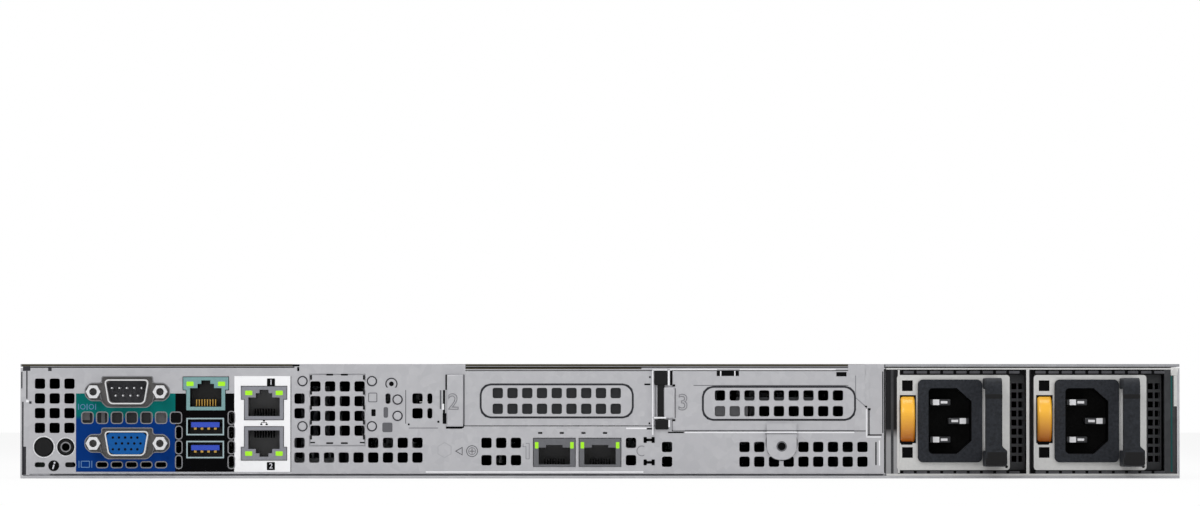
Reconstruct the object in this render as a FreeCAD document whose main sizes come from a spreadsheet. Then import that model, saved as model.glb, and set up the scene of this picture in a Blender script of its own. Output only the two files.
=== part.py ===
"""One-unit rack server: chassis, perforated rear wall with its ports, two plug-in power supplies,
fans, boards, removable cover and four front drive carriers.

Millimetres, +Z up, origin under the middle of the server. The rear wall faces -Y, +X is to the right
of someone who looks at the rear wall.
"""
import FreeCAD
import Part
import math
import os
import re
import Sketcher
from FreeCAD import Placement, Rotation, Vector

# Driving dimensions, one spreadsheet cell each
SIZES = {
    # chassis and rack
    "chassis_width": 434.0,
    "chassis_height": 42.8,
    "rack_to_rear": 657.0,
    "nose_depth": 22.0,
    "grip_reach": 24.0,
    "sheet_gauge": 1.0,
    "lid_gap": 0.4,
    "side_gap": 2.0,
    "ear_reach": 24.0,
    "ear_gauge": 2.5,
    "ear_arm": 60.0,
    "nose_width": 11.0,
    "rack_hole_out": 15.55,
    "rack_hole_radius": 3.4,
    "post_radius": 3.0,
    "post_head_radius": 4.5,
    "post_length": 2.2,
    "post_head": 1.2,
    "post_first": 60.0,
    "post_pitch": 210.0,
    # perforation of the rear wall
    "vent_size": 3.9,
    "vent_pitch": 5.52,
    "slit_height": 1.9,
    "slot_width": 2.1,
    "slot_height": 4.5,
    # rear wall
    "panel_right": 106.9,
    "port_seam": -115.6,
    "jack_seam": -160.1,
    "wall_tab_left": -114.4,
    "wall_tab_right": -58.6,
    "corner_tab_left": 99.2,
    "corner_tab_right": 106.4,
    "panel_flange": 12.0,
    "panel_bend": 0.8,
    "corner_vent_x": -209.7,
    "corner_vent_z": 18.9,
    "port_vent_x": -191.9,
    "port_vent_z": 22.7,
    "low_slit_x": -186.4,
    "low_slit_z": 5.1,
    "corner_slit_pitch": 11.4,
    "usb_slot_left": -157.7,
    "usb_slot_right": -138.0,
    "usb_slot_z": 6.1,
    "middle_vent_x": -112.5,
    "middle_vent_z": 7.8,
    "knockout_x": -98.3,
    "knockout_z": 25.6,
    "knockout_width": 20.6,
    "knockout_height": 26.7,
    "knockout_groove": 0.5,
    "half_vent_x": -63.7,
    "half_vent_width": 1.9,
    "right_vent_x": 54.1,
    "right_vent_z": 6.25,
    "single_vent_x": 25.1,
    # button and jack in the lower left corner
    "button_x": -208.2,
    "button_z": 11.75,
    "button_radius": 3.25,
    "button_gap": 0.4,
    "button_length": 7.0,
    "button_proud": 0.6,
    "switch_width": 6.6,
    "switch_back": 8.0,
    "switch_depth": 5.0,
    "jack_x": -200.0,
    "jack_radius": 2.8,
    "jack_bore": 1.75,
    "jack_length": 12.0,
    # serial and video connectors
    "dsub_x": -177.0,
    "serial_z": 32.4,
    "video_z": 13.1,
    "dsub_cut_width": 31.2,
    "dsub_cut_wing": 6.8,
    "dsub_cut_core": 19.0,
    "dsub_cut_height": 11.6,
    "dsub_cut_clip": 2.0,
    "dsub_top": 16.6,
    "dsub_bottom": 13.4,
    "dsub_height": 9.1,
    "dsub_clip": 1.5,
    "dsub_wall": 0.5,
    "dsub_reach": 5.0,
    "dsub_flange_width": 30.8,
    "dsub_flange_height": 12.4,
    "dsub_body_depth": 9.0,
    "jackscrew_spacing": 24.99,
    "jackscrew_corner": 2.75,
    "jackscrew_bore": 1.42,
    "jackscrew_length": 5.8,
    # modular jacks
    "rj_width": 16.9,
    "rj_neck": 14.5,
    "rj_height": 12.4,
    "rj_shoulder": 4.7,
    "rj_depth": 21.0,
    "rj_proud": 0.3,
    "rj_fit": 0.25,
    "rj_mouth": 11.8,
    "rj_mouth_height": 7.0,
    "rj_step": 6.2,
    "rj_step_height": 1.6,
    "rj_notch": 3.4,
    "rj_notch_height": 1.3,
    "rj_sill": 1.3,
    "rj_cavity": 13.5,
    "manage_x": -147.6,
    "manage_z": 25.5,
    "ether_x": -125.8,
    "ether_upper_z": 22.0,
    "ether_lower_z": 19.3,
    # stacked universal serial bus sockets
    "usb_x": -147.8,
    "usb_upper_z": 19.4,
    "usb_lower_z": 10.8,
    "usb_width": 14.1,
    "usb_height": 6.5,
    "usb_wall": 0.5,
    "usb_depth": 16.0,
    "usb_tongue": 10.6,
    "usb_tongue_gauge": 1.9,
    "usb_tongue_rise": 0.7,
    # expansion slots
    "slot2_x": -15.0,
    "slot2_z": 30.0,
    "slot2_width": 71.4,
    "slot2_height": 20.4,
    "slot3_x": 63.4,
    "slot3_z": 29.05,
    "slot3_width": 72.4,
    "slot3_height": 22.3,
    "cover_gap": 0.3,
    "cover_lap": 3.0,
    "bead_width": 56.2,
    "bead_height": 11.6,
    "bead_proud": 0.6,
    "bead_radius": 3.8,
    "slot_vent_step": 5.9,
    "slot2_bead_x": -16.2,
    "slot2_bead_z": 29.0,
    "slot3_bead_x": 67.0,
    "slot3_bead_z": 28.1,
    "tab_x": 68.0,
    "tab_top": 20.6,
    "tab_bottom": 7.0,
    "tab_width": 11.2,
    "tab_radius": 5.0,
    "clamp2_left": -58.4,
    "clamp2_right": -51.2,
    "clamp2_bottom": 18.9,
    "clamp2_top": 38.6,
    "clamp3_left": 20.9,
    "clamp3_right": 25.4,
    "clip3_right": 28.4,
    "clip3_bottom": 22.0,
    "clip3_top": 34.6,
    "clamp_proud": 1.2,
    "clamp_radius": 2.4,
    "clip_radius": 1.2,
    # bracket and jacks of the first slot
    "lom_left": -57.8,
    "lom_right": 19.8,
    "lom_bottom": 2.8,
    "lom_top": 18.1,
    "lom_vent_x": -42.5,
    "lom_vent_z": 6.8,
    "lom_vent_rise": 6.5,
    "lom_right_vent": 11.6,
    "lom_jack_first": -17.1,
    "lom_jack_pitch": 17.1,
    "lom_jack_z": 9.75,
    "lom_jack_width": 15.5,
    "lom_jack_height": 10.4,
    "lom_slit_x": -22.4,
    "lom_slit_z": 17.0,
    "lom_slit_pitch": 8.1,
    "lom_slit_width": 1.6,
    "lom_slit_height": 0.7,
    # power supplies
    "psu_first_x": 135.0,
    "psu_pitch": 51.2,
    "psu_width": 48.8,
    "psu_bottom": 1.6,
    "psu_height": 39.2,
    "psu_depth": 185.0,
    "psu_recess": 6.0,
    "face_left": -23.8,
    "face_width": 42.2,
    "face_bottom": 3.1,
    "face_height": 35.6,
    "inlet_x": -4.0,
    "inlet_z": 21.5,
    "inlet_width": 24.1,
    "inlet_height": 31.0,
    "inlet_proud": 1.5,
    "inlet_radius": 2.0,
    "inlet_core_width": 20.0,
    "inlet_core_height": 28.4,
    "inlet_core_depth": 18.0,
    "mouth_width": 16.1,
    "mouth_height": 24.6,
    "mouth_clip_x": 5.5,
    "mouth_clip_z": 4.9,
    "mouth_depth": 16.0,
    "mouth_radius": 1.6,
    "blade_width": 4.0,
    "blade_gauge": 2.0,
    "blade_side": -3.5,
    "blade_earth": 3.1,
    "blade_rise": 7.0,
    "blade_length": 13.0,
    "latch_x": -19.9,
    "latch_z": 22.2,
    "latch_width": 5.2,
    "latch_height": 17.2,
    "latch_reach": 5.0,
    "latch_pivot": 3.2,
    "latch_travel": 0.6,
    "face_hole": 4.0,
    "face_hole_rise": 12.5,
    "face_radius": 1.2,
    "grip_x": 12.2,
    "grip_width": 7.9,
    "grip_bar": 6.5,
    "grip_bottom": 4.5,
    "grip_top": 37.5,
    "grip_foot": 6.0,
    "grip_head": 4.0,
    "grip_radius": 4.0,
    "dash_width": 3.6,
    "dash_height": 0.9,
    "dash_pitch": 5.0,
    "side_hole_width": 1.9,
    "side_hole_height": 2.3,
    "side_hole_pitch": 2.6,
    "side_hole_rise": 3.4,
    "side_hole_bottom": 7.3,
    "edge_card_width": 30.0,
    "edge_card_gauge": 1.6,
    "edge_card_reach": 7.0,
    "edge_card_z": 18.0,
    "cage_depth": 200.0,
    "cross_wall": 193.5,
    "socket_width": 36.0,
    "socket_height": 12.0,
    "socket_slot": 3.0,
    "power_board_gauge": 2.0,
    # boards and what stands on them
    "board_z": 2.8,
    "board_gauge": 1.6,
    "board_right": 104.0,
    "board_front": 412.0,
    "board_back": 3.0,
    "standoff_radius": 3.5,
    "standoff_left": -195.0,
    "standoff_step_x": 97.0,
    "standoff_back": 24.0,
    "standoff_step_y": 183.0,
    "standoff_inset": 8.0,
    "lom_card_depth": 60.0,
    "riser_gauge": 1.6,
    "riser2_x": 29.5,
    "riser3_x": 101.0,
    "riser_back": 8.0,
    "riser_depth": 112.0,
    "riser_top": 38.0,
    "riser_socket_back": 24.0,
    "riser_socket_length": 85.0,
    "riser_socket_reach": 8.0,
    "riser_socket_z": 26.0,
    "riser_socket_height": 7.5,
    "sink_first_x": -125.0,
    "sink_pitch": 150.0,
    "sink_back": 283.0,
    "sink_width": 80.0,
    "sink_length": 100.0,
    "sink_base": 9.0,
    "sink_foot": 56.0,
    "sink_plate": 4.0,
    "sink_top": 36.0,
    "sink_channel": 3.0,
    "sink_fin_pitch": 5.0,
    "memory_back": 262.0,
    "memory_length": 140.0,
    "memory_pitch": 8.0,
    "memory_socket": 6.0,
    "memory_socket_height": 5.0,
    "memory_gauge": 1.3,
    "memory_inset": 3.5,
    "memory_top": 38.5,
    "memory_left": -204.0,
    "memory_middle": -78.0,
    "memory_right": 72.0,
    "shroud_back": 255.0,
    "shroud_front": 411.0,
    "shroud_gauge": 1.2,
    "shroud_top": 41.0,
    # fans
    "fan_back": 421.5,
    "fan_depth": 56.0,
    "fan_width": 40.0,
    "fan_height": 39.6,
    "fan_pitch": 70.0,
    "fan_bore": 18.6,
    "fan_strut": 2.4,
    "fan_boss": 10.5,
    "fan_boss_depth": 3.0,
    "rotor_gap": 0.5,
    "hub_radius": 11.0,
    "hub_length": 30.0,
    "blade_tip": 17.2,
    "blade_sweep": 4.5,
    "blade_thickness": 1.3,
    "blade_start": 4.0,
    "blade_end": 24.0,
    # cover
    "lid_depth": 480.0,
    "lid_flange": 8.0,
    "tray_x": -20.0,
    "tray_back": 187.0,
    "tray_length": 58.0,
    "tray_width": 30.0,
    "tray_depth": 5.0,
    "lever_width": 25.0,
    "lever_gauge": 2.0,
    "lever_radius": 2.0,
    "lever_margin": 2.6,
    "finger_gap": 10.0,
    # drive bays and carriers
    "bay_pitch": 107.0,
    "bay_top": 31.6,
    "bay_back": 487.5,
    "backplane_back": 483.5,
    "backplane_gauge": 2.0,
    "backplane_top": 40.0,
    "plug_width": 42.0,
    "plug_height": 8.0,
    "plug_reach": 6.0,
    "plug_bottom": 8.0,
    "airway_width": 70.0,
    "airway_height": 5.0,
    "strip_vent_width": 23.0,
    "strip_vent_height": 4.0,
    "strip_vent_pitch": 29.6,
    "carrier_width": 104.4,
    "carrier_bottom": 1.8,
    "carrier_height": 28.6,
    "carrier_front": 12.0,
    "carrier_rail": 1.4,
    "carrier_depth": 158.0,
    "drive_width": 101.0,
    "drive_height": 26.1,
    "drive_length": 147.0,
    "carrier_vent_width": 12.0,
    "carrier_vent_height": 3.6,
    "carrier_vent_pitch": 15.3,
    "carrier_vent_rise": 9.4,
    "handle_length": 70.0,
    "handle_height": 9.6,
    "handle_gauge": 4.4,
    "handle_radius": 2.2,
    "handle_gap": 0.5,
    "handle_pivot": 44.0,
    "handle_nest": 6.0,
    # power button
    "power_radius": 4.2,
    "power_well": 4.6,
    "power_length": 5.0,
    "power_sink": 0.4,
    "power_well_depth": 8.0,
    "power_z": 30.0,
}

# Counts of what repeats
FAN_COUNT = 6
BLADE_COUNT = 7
BAY_COUNT = 4
PSU_COUNT = 2
POSTS_PER_SIDE = 3
SLOT_VENT_COLUMNS = 9
STRIP_VENT_COUNT = 14
SINK_CHANNELS = 15
CARRIER_VENTS = 6
DASH_COLUMNS = 8
SIDE_HOLE_COLUMNS = 2
SIDE_HOLE_ROWS = 9
STANDOFF_COLUMNS = 4
STANDOFF_ROWS = 3
LOM_JACK_COUNT = 2
SINK_COUNT = 2
HEX = 6
ROUND_FACES = 12
BUTTON_FACES = 24

# Positions that follow from the driving dimensions
FRONT = "((rack_to_rear + nose_depth + grip_reach) / 2)"
REAR = f"(grip_reach - {FRONT})"
RACK_FACE = f"({FRONT} - nose_depth)"
SIDE = "(chassis_width / 2)"
INSIDE = f"({SIDE} - sheet_gauge)"
PANEL_LEFT = f"(-{INSIDE} + side_gap)"
ROOF = "(chassis_height - sheet_gauge)"
WALL_TOP = f"({ROOF} - lid_gap)"
BOARD_TOP = "(board_z + board_gauge)"
LID_FRONT = f"({REAR} + lid_depth)"

doc = FreeCAD.newDocument("rack_server")
sheet = doc.addObject("Spreadsheet::Sheet", "Sizes")
for row, (alias, number) in enumerate(SIZES.items(), start=1):
    sheet.set(f"A{row}", alias)
    sheet.set(f"B{row}", str(number))
    sheet.setAlias(f"B{row}", alias)
doc.recompute()
CELL = re.compile(r"\b(" + "|".join(SIZES) + r")\b")
nodes = []


def bound(text):
    """Expression text whose cell names point at the spreadsheet."""
    return CELL.sub(r"Sizes.\1", str(text))


def measure(text):
    """Number that an expression text stands for."""
    return float(sheet.evalExpression(bound(text)))


def bind(thing, prop, text):
    """Tie one property to the spreadsheet."""
    thing.setExpression(prop, bound(text))


def place(thing, at, turn=None):
    """Tie a piece's position to the spreadsheet, after an optional fixed turn."""
    thing.Placement = Placement(Vector(), turn or Rotation())
    for axis, text in zip("xyz", at):
        bind(thing, f"Placement.Base.{axis}", text)
    return thing


def node(label, thing):
    """Register a finished sub-part under the name of its file."""
    thing.Label = label
    nodes.append(thing)
    return thing


def back(distance):
    """Position along Y that lies a distance inward from the rear wall's outer face."""
    return f"({REAR} + ({distance}))"


def around(centre, width):
    """Two bounds that lie evenly about a centre."""
    return f"({centre}) - ({width}) / 2", f"({centre}) + ({width}) / 2"


# Blocks, rounds and their combinations


def box(x, y, z):
    """Block between two bounds along each axis."""
    block = doc.addObject("Part::Box", "block")
    for side, (low, high) in zip(("Length", "Width", "Height"), (x, y, z)):
        bind(block, side, f"({high}) - ({low})")
    return place(block, [low for low, high in (x, y, z)])


ALONG = {
    "x": Rotation(Vector(0, 1, 0), 90),
    "y": Rotation(Vector(1, 0, 0), -90),
    "z": Rotation(),
}


def rod(radius, length, at, along):
    """Cylinder that starts at a point and runs along one axis."""
    cylinder = doc.addObject("Part::Cylinder", "rod")
    bind(cylinder, "Radius", radius)
    bind(cylinder, "Height", length)
    return place(cylinder, at, ALONG[along])


def prism(sides, corner_radius, length, at, along):
    """Bar with equal flat sides that starts at a point and runs along one axis."""
    bar = doc.addObject("Part::Prism", "prism")
    bar.Polygon = sides
    bind(bar, "Circumradius", corner_radius)
    bind(bar, "Height", length)
    return place(bar, at, ALONG[along])


def join(pieces):
    """One solid from pieces that touch or overlap."""
    fused = doc.addObject("Part::MultiFuse", "joined")
    fused.Shapes = list(pieces)
    fused.Refine = True
    return fused


def group(pieces):
    """Separate solids that make up one sub-part."""
    bundle = doc.addObject("Part::Compound", "group")
    bundle.Links = list(pieces)
    return bundle


def cut(base, tools):
    """Base solid with the tools taken away."""
    remainder = doc.addObject("Part::Cut", "cut")
    remainder.Base = base
    remainder.Tool = group(tools)
    return remainder


# Sketched bodies


def bare_body(name, at):
    """Empty body whose sketches are drawn about a given point."""
    return place(doc.addObject("PartDesign::Body", name), at)


def body(label, at):
    """Empty body that is a sub-part of its own."""
    return node(label, bare_body(label, at))


def origin_part(piece, role):
    """Plane or axis of the body's own origin."""
    return next(part for part in piece.Origin.OriginFeatures if part.Role == role)


def quarter(start, end):
    """Quarter round from one point to the next of an outline that runs anticlockwise."""
    middle = Vector(start.x, end.y, 0)
    if (end - start).cross(middle - start).z < 0:
        middle = Vector(end.x, start.y, 0)
    spoke = start - middle
    angle = math.atan2(spoke.y, spoke.x)
    return Part.ArcOfCircle(Part.Circle(middle, Vector(0, 0, 1), spoke.Length), angle, angle + math.pi / 2)


def outline(points, bends=None):
    """Closed outline through points, each given as two expression texts.

    The edge after a point whose number is in bends is a quarter round of the radius given there.
    """
    bends = bends or {}

    def draw(profile, centre):
        texts = [(f"({centre[0]}) + ({u})", f"({centre[1]}) + ({v})") for u, v in points]
        corners = [Vector(measure(u), measure(v), 0) for u, v in texts]
        count = len(corners)
        first = profile.GeometryCount
        for index, start in enumerate(corners):
            end = corners[(index + 1) % count]
            profile.addGeometry(quarter(start, end) if index in bends else Part.LineSegment(start, end))
        ties = []
        for index in range(count):
            ties.append(Sketcher.Constraint("Coincident", first + index, 2, first + (index + 1) % count, 1))
        for index, corner in enumerate(corners):
            ties.append(Sketcher.Constraint("DistanceX", -1, 1, first + index, 1, corner.x))
            ties.append(Sketcher.Constraint("DistanceY", -1, 1, first + index, 1, corner.y))
        for index, radius in bends.items():
            ties.append(Sketcher.Constraint("Radius", first + index, measure(radius)))
        numbers = profile.addConstraint(ties)
        sizes = [text for pair in texts for text in pair] + list(bends.values())
        for number, text in zip(numbers[count:], sizes):
            bind(profile, f"Constraints[{number}]", text)
    return draw


def rounded(width, height, radius):
    """Centred rectangle with four round corners."""
    half_w = f"(({width}) / 2)"
    half_h = f"(({height}) / 2)"
    in_w = f"({half_w} - {radius})"
    in_h = f"({half_h} - {radius})"
    return outline([
        (f"-{half_w}", f"-{in_h}"), (f"-{in_w}", f"-{half_h}"),
        (in_w, f"-{half_h}"), (half_w, f"-{in_h}"),
        (half_w, in_h), (in_w, half_h),
        (f"-{in_w}", half_h), (f"-{half_w}", in_h),
    ], {index: radius for index in (0, 2, 4, 6)})


def rectangle(width, height):
    """Centred rectangle."""
    half_w = f"(({width}) / 2)"
    half_h = f"(({height}) / 2)"
    return outline([
        (f"-{half_w}", f"-{half_h}"), (half_w, f"-{half_h}"),
        (half_w, half_h), (f"-{half_w}", half_h),
    ])


def facets(radius, sides):
    """Round drawn as a many-sided outline."""
    angles = [2 * math.pi * index / sides for index in range(sides)]
    return outline([(f"{math.cos(a):.6f} * {radius}", f"{math.sin(a):.6f} * {radius}") for a in angles])


def disc(radius):
    """Circle."""
    def draw(profile, centre):
        middle = Vector(measure(centre[0]), measure(centre[1]), 0)
        ring = profile.addGeometry(Part.Circle(middle, Vector(0, 0, 1), measure(radius)))
        ties = [Sketcher.Constraint("Radius", ring, measure(radius))]
        ties.append(Sketcher.Constraint("DistanceX", -1, 1, ring, 3, middle.x))
        ties.append(Sketcher.Constraint("DistanceY", -1, 1, ring, 3, middle.y))
        for number, text in zip(profile.addConstraint(ties), (radius, *centre)):
            bind(profile, f"Constraints[{number}]", text)
    return draw


def sketch(piece, plane, level, shapes):
    """Sketch at a level above one of the body's own planes, with each shape about its own centre."""
    profile = piece.newObject("Sketcher::SketchObject", "profile")
    profile.AttachmentSupport = (origin_part(piece, plane), [""])
    profile.MapMode = "FlatFace"
    bind(profile, "AttachmentOffset.Base.z", level)
    for draw, centre in shapes:
        draw(profile, centre)
    return profile


def extrude(piece, profile, length, inward=False):
    """Material that grows from a sketch."""
    pad = piece.newObject("PartDesign::Pad", "pad")
    pad.Profile = profile
    pad.Reversed = inward
    bind(pad, "Length", length)
    doc.recompute()
    return pad


def stand(piece, shapes, front, depth):
    """Rear-facing plate: its face lies `front` outside the body's zero plane, its depth runs inward."""
    return extrude(piece, sketch(piece, "XZ_Plane", front, shapes), depth, inward=True)


def sink(piece, shapes, front="0", depth=None):
    """Rear-facing recesses, or openings right through where no depth is given."""
    before = piece.Shape.Volume
    pocket = piece.newObject("PartDesign::Pocket", "pocket")
    pocket.Profile = sketch(piece, "XZ_Plane", front, shapes)
    if depth is None:
        pocket.Type = "ThroughAll"
        pocket.SideType = "Symmetric"
    else:
        bind(pocket, "Length", depth)
    doc.recompute()
    if not piece.Shape.Volume < before:
        raise ValueError(f"a recess of {piece.Label} takes nothing away")
    return pocket


def hole(x, z, width, height, depth=("-2 * sheet_gauge", "3 * sheet_gauge")):
    """Block that cuts a rectangular hole through the rear wall, or through what lies at another depth."""
    return box(around(x, width), (back(depth[0]), back(depth[1])), around(z, height))


def grid(x, z, columns, rows, pitch_x, pitch_z=None):
    """Centres in rows and columns, from the lower left one."""
    for row in range(rows):
        for column in range(columns):
            yield f"{x} + {column} * ({pitch_x})", f"{z} + {row} * ({pitch_z or pitch_x})"


def repeat(piece, feature, columns, rows, pitch_x, pitch_z=None):
    """Rows and columns of one recess, to the right and upward."""
    pattern = piece.newObject("PartDesign::LinearPattern", "pattern")
    pattern.Originals = [feature]
    directions = (("", "X_Axis", columns, pitch_x), ("2", "Z_Axis", rows, pitch_z or pitch_x))
    for suffix, axis, count, pitch in directions:
        setattr(pattern, f"Direction{suffix}", (origin_part(piece, axis), [""]))
        setattr(pattern, f"Mode{suffix}", "Spacing")
        setattr(pattern, f"Occurrences{suffix}", count)
        setattr(pattern, f"Spacings{suffix}", [-1.0] * (count - 1))
        bind(pattern, f"Offset{suffix}", pitch)
    piece.Tip = pattern
    doc.recompute()
    return pattern


def vents(x, z, columns, rows):
    """Cutters for a grid of square vents, from its lower left vent."""
    return [hole(*centre, "vent_size", "vent_size") for centre in grid(x, z, columns, rows, "vent_pitch")]


# Chassis


def chassis_base():
    """Floor, two side walls and the stand-offs for the boards."""
    length = (REAR, RACK_FACE)
    pieces = [box((f"-{SIDE}", SIDE), length, ("0", "sheet_gauge"))]
    pieces.append(box((f"-{SIDE}", f"-{INSIDE}"), length, ("0", WALL_TOP)))
    pieces.append(box((INSIDE, SIDE), length, ("0", WALL_TOP)))
    steps = ("standoff_step_x", "standoff_step_y")
    feet = [*grid("standoff_left", "standoff_back", STANDOFF_COLUMNS, STANDOFF_ROWS, *steps)]
    for x in ("lom_left + standoff_inset", "lom_right - standoff_inset"):
        feet.append((x, "lom_card_depth - standoff_inset"))
    for x, depth in feet:
        foot = (x, back(depth), "sheet_gauge")
        pieces.append(prism(HEX, "standoff_radius", "board_z - sheet_gauge", foot, "z"))
    node("chassis_base", join(pieces))


def wall_angle(name, left, right):
    """Angle of sheet that makes one length of the rear wall."""
    angle = bare_body(name, ("0", REAR, "0"))
    section = outline([
        ("0", "sheet_gauge + panel_bend"), ("panel_bend", "sheet_gauge"),
        ("panel_flange", "sheet_gauge"), ("panel_flange", "2 * sheet_gauge"),
        ("sheet_gauge", "2 * sheet_gauge"), ("sheet_gauge", WALL_TOP), ("0", WALL_TOP),
    ])
    profile = sketch(angle, "YZ_Plane", left, [(section, ("0", "0"))])
    extrude(angle, profile, f"({right}) - ({left})")
    return angle


def port_plate():
    """Left length of the rear wall, with vents and openings for the button, status jack and D connectors."""
    angle = wall_angle("port_angle", PANEL_LEFT, "jack_seam")
    sink(angle, [
        (disc("button_radius + button_gap"), ("button_x", "button_z")),
        (disc("jack_radius + lid_gap"), ("jack_x", "button_z")),
        (dsub_window(), ("dsub_x", "serial_z")),
        (dsub_window(), ("dsub_x", "video_z")),
    ])
    node("port_plate", cut(angle, left_holes()))


def jack_plate():
    """Second length of the rear wall, with openings for the modular jacks and the bus sockets."""
    angle = wall_angle("jack_angle", "jack_seam", "port_seam")
    sink(angle, [
        (jack_outline("rj_fit", 1), ("manage_x", "manage_z")),
        (jack_outline("rj_fit", 1), ("ether_x", "ether_upper_z")),
        (jack_outline("rj_fit", -1), ("ether_x", "ether_lower_z")),
    ])
    slots = [*grid("usb_slot_left", "usb_slot_z", 1, 3, "vent_pitch")]
    slots += grid("usb_slot_right", "usb_slot_z", 1, 4, "vent_pitch")
    cutters = [hole(*centre, "slot_width", "slot_height") for centre in slots]
    for z in ("usb_upper_z", "usb_lower_z"):
        cutters.append(hole("usb_x", z, "usb_width + 2 * rj_fit", "usb_height + 2 * rj_fit"))
    node("jack_plate", cut(angle, cutters))


def wall_tabs():
    """Bounds along X of the two tabs that rise through the cover's notches."""
    return (("wall_tab_left", "wall_tab_right"), ("corner_tab_left", "corner_tab_right"))


def rear_panel():
    """Right length of the rear wall, with vents, slot openings and tabs that reach the cover's top."""
    pieces = [wall_angle("rear_angle", "port_seam", "panel_right")]
    height = (f"{WALL_TOP} - sheet_gauge", "chassis_height")
    for bounds in wall_tabs():
        pieces.append(box(bounds, (REAR, back("sheet_gauge")), height))
    node("rear_panel", cut(join(pieces), [*middle_holes(), *right_holes()]))


def left_holes():
    """Vents and slits of the port field."""
    cutters = vents("corner_vent_x", "corner_vent_z", 3, 4) + vents("port_vent_x", "port_vent_z", 7, 1)
    slits = [*grid("low_slit_x", "low_slit_z", 5, 1, "vent_pitch")]
    slits += grid("corner_vent_x", "low_slit_z", 2, 1, "corner_slit_pitch")
    return cutters + [hole(*centre, "vent_size", "slit_height") for centre in slits]


def middle_holes():
    """Vents round the knock-out plate, and the half-sheared outline of that plate."""
    upper = "middle_vent_z + 3 * vent_pitch"
    cutters = vents("middle_vent_x", "middle_vent_z", 9, 1)
    cutters += vents("middle_vent_x", "middle_vent_z + vent_pitch", 1, 1)
    cutters += vents("middle_vent_x + 5 * vent_pitch", "middle_vent_z + vent_pitch", 4, 1)
    cutters += vents("middle_vent_x", upper, 1, 2)
    cutters += vents("middle_vent_x + 8 * vent_pitch", upper, 1, 2)
    cutters += vents("knockout_x - 1.5 * vent_pitch", "knockout_z - 1.4 * vent_pitch", 4, 4)
    halves = [*grid("half_vent_x", upper, 1, 2, "vent_pitch")]
    halves.append(("middle_vent_x + 6 * vent_pitch", f"{upper} + vent_pitch"))
    cutters += [hole(*centre, "half_vent_width", "vent_size") for centre in halves]
    shallow = ("-sheet_gauge", "sheet_gauge / 2")
    for side in (-1, 1):
        upright = (f"knockout_x + {side} * knockout_width / 2", "knockout_z")
        cutters.append(hole(*upright, "knockout_groove", "knockout_height + knockout_groove", shallow))
        level = ("knockout_x", f"knockout_z + {side} * knockout_height / 2")
        cutters.append(hole(*level, "knockout_width + knockout_groove", "knockout_groove", shallow))
    return cutters


def right_holes():
    """Vents under the right slot, and the openings that the slot brackets fill."""
    cutters = vents("right_vent_x", "right_vent_z", 9, 1)
    cutters += vents("right_vent_x", "right_vent_z + vent_pitch", 2, 1)
    cutters += vents("right_vent_x + 4 * vent_pitch", "right_vent_z + vent_pitch", 5, 1)
    cutters += vents("single_vent_x", "right_vent_z", 1, 2)
    for x, z, width, height in slot_windows():
        cutters.append(hole(x, z, f"{width} + 2 * cover_gap", f"{height} + 2 * cover_gap"))
    return cutters


def slot_windows():
    """Centre and size of the three openings that brackets fill."""
    return (
        ("slot2_x", "slot2_z", "slot2_width", "slot2_height"),
        ("slot3_x", "slot3_z", "slot3_width", "slot3_height"),
        ("(lom_left + lom_right) / 2", "(lom_bottom + lom_top) / 2",
         "(lom_right - lom_left)", "(lom_top - lom_bottom)"),
    )


def bracket(label, window):
    """Cover that fills a slot window and laps the rear wall from inside."""
    x, z, width, height = window
    piece = bare_body(label, ("0", REAR, "0"))
    stand(piece, [(rectangle(width, height), (x, z))], "0", "2 * sheet_gauge")
    lap = rectangle(f"{width} + 2 * cover_lap", f"{height} - 2 * cover_gap")
    stand(piece, [(lap, (x, z))], "-sheet_gauge", "sheet_gauge")
    return piece


def slot_cover(label, window, bead_x, bead_z):
    """Slot cover with a raised field of vents."""
    piece = bracket(f"{label}_plate", window)
    bead = rounded("bead_width", "bead_height", "bead_radius")
    stand(piece, [(bead, (bead_x, bead_z))], "bead_proud", "sheet_gauge")
    first_x = f"{bead_x} - {SLOT_VENT_COLUMNS - 1} / 2 * vent_pitch"
    first_z = f"{bead_z} - slot_vent_step / 2"
    vent = sink(piece, [(rectangle("vent_size", "vent_size"), (first_x, first_z))])
    repeat(piece, vent, SLOT_VENT_COLUMNS, 2, "vent_pitch", "slot_vent_step")
    return piece


def slot_covers():
    """Covers of the two upper slots; the right one has a tab that is screwed to the wall."""
    second, third, _ = slot_windows()
    node("slot_cover_2", slot_cover("slot_cover_2", second, "slot2_bead_x", "slot2_bead_z"))
    piece = slot_cover("slot_cover_3", third, "slot3_bead_x", "slot3_bead_z")
    half = "(tab_width / 2)"
    tab = outline([
        (f"-{half}", "tab_top"), (f"-{half}", "tab_bottom + tab_radius"),
        (f"-{half} + tab_radius", "tab_bottom"), (f"{half} - tab_radius", "tab_bottom"),
        (half, "tab_bottom + tab_radius"), (half, "tab_top"),
    ], {1: "tab_radius", 3: "tab_radius"})
    stand(piece, [(tab, ("tab_x", "0"))], "sheet_gauge", "sheet_gauge")
    node("slot_cover_3", piece)


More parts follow.
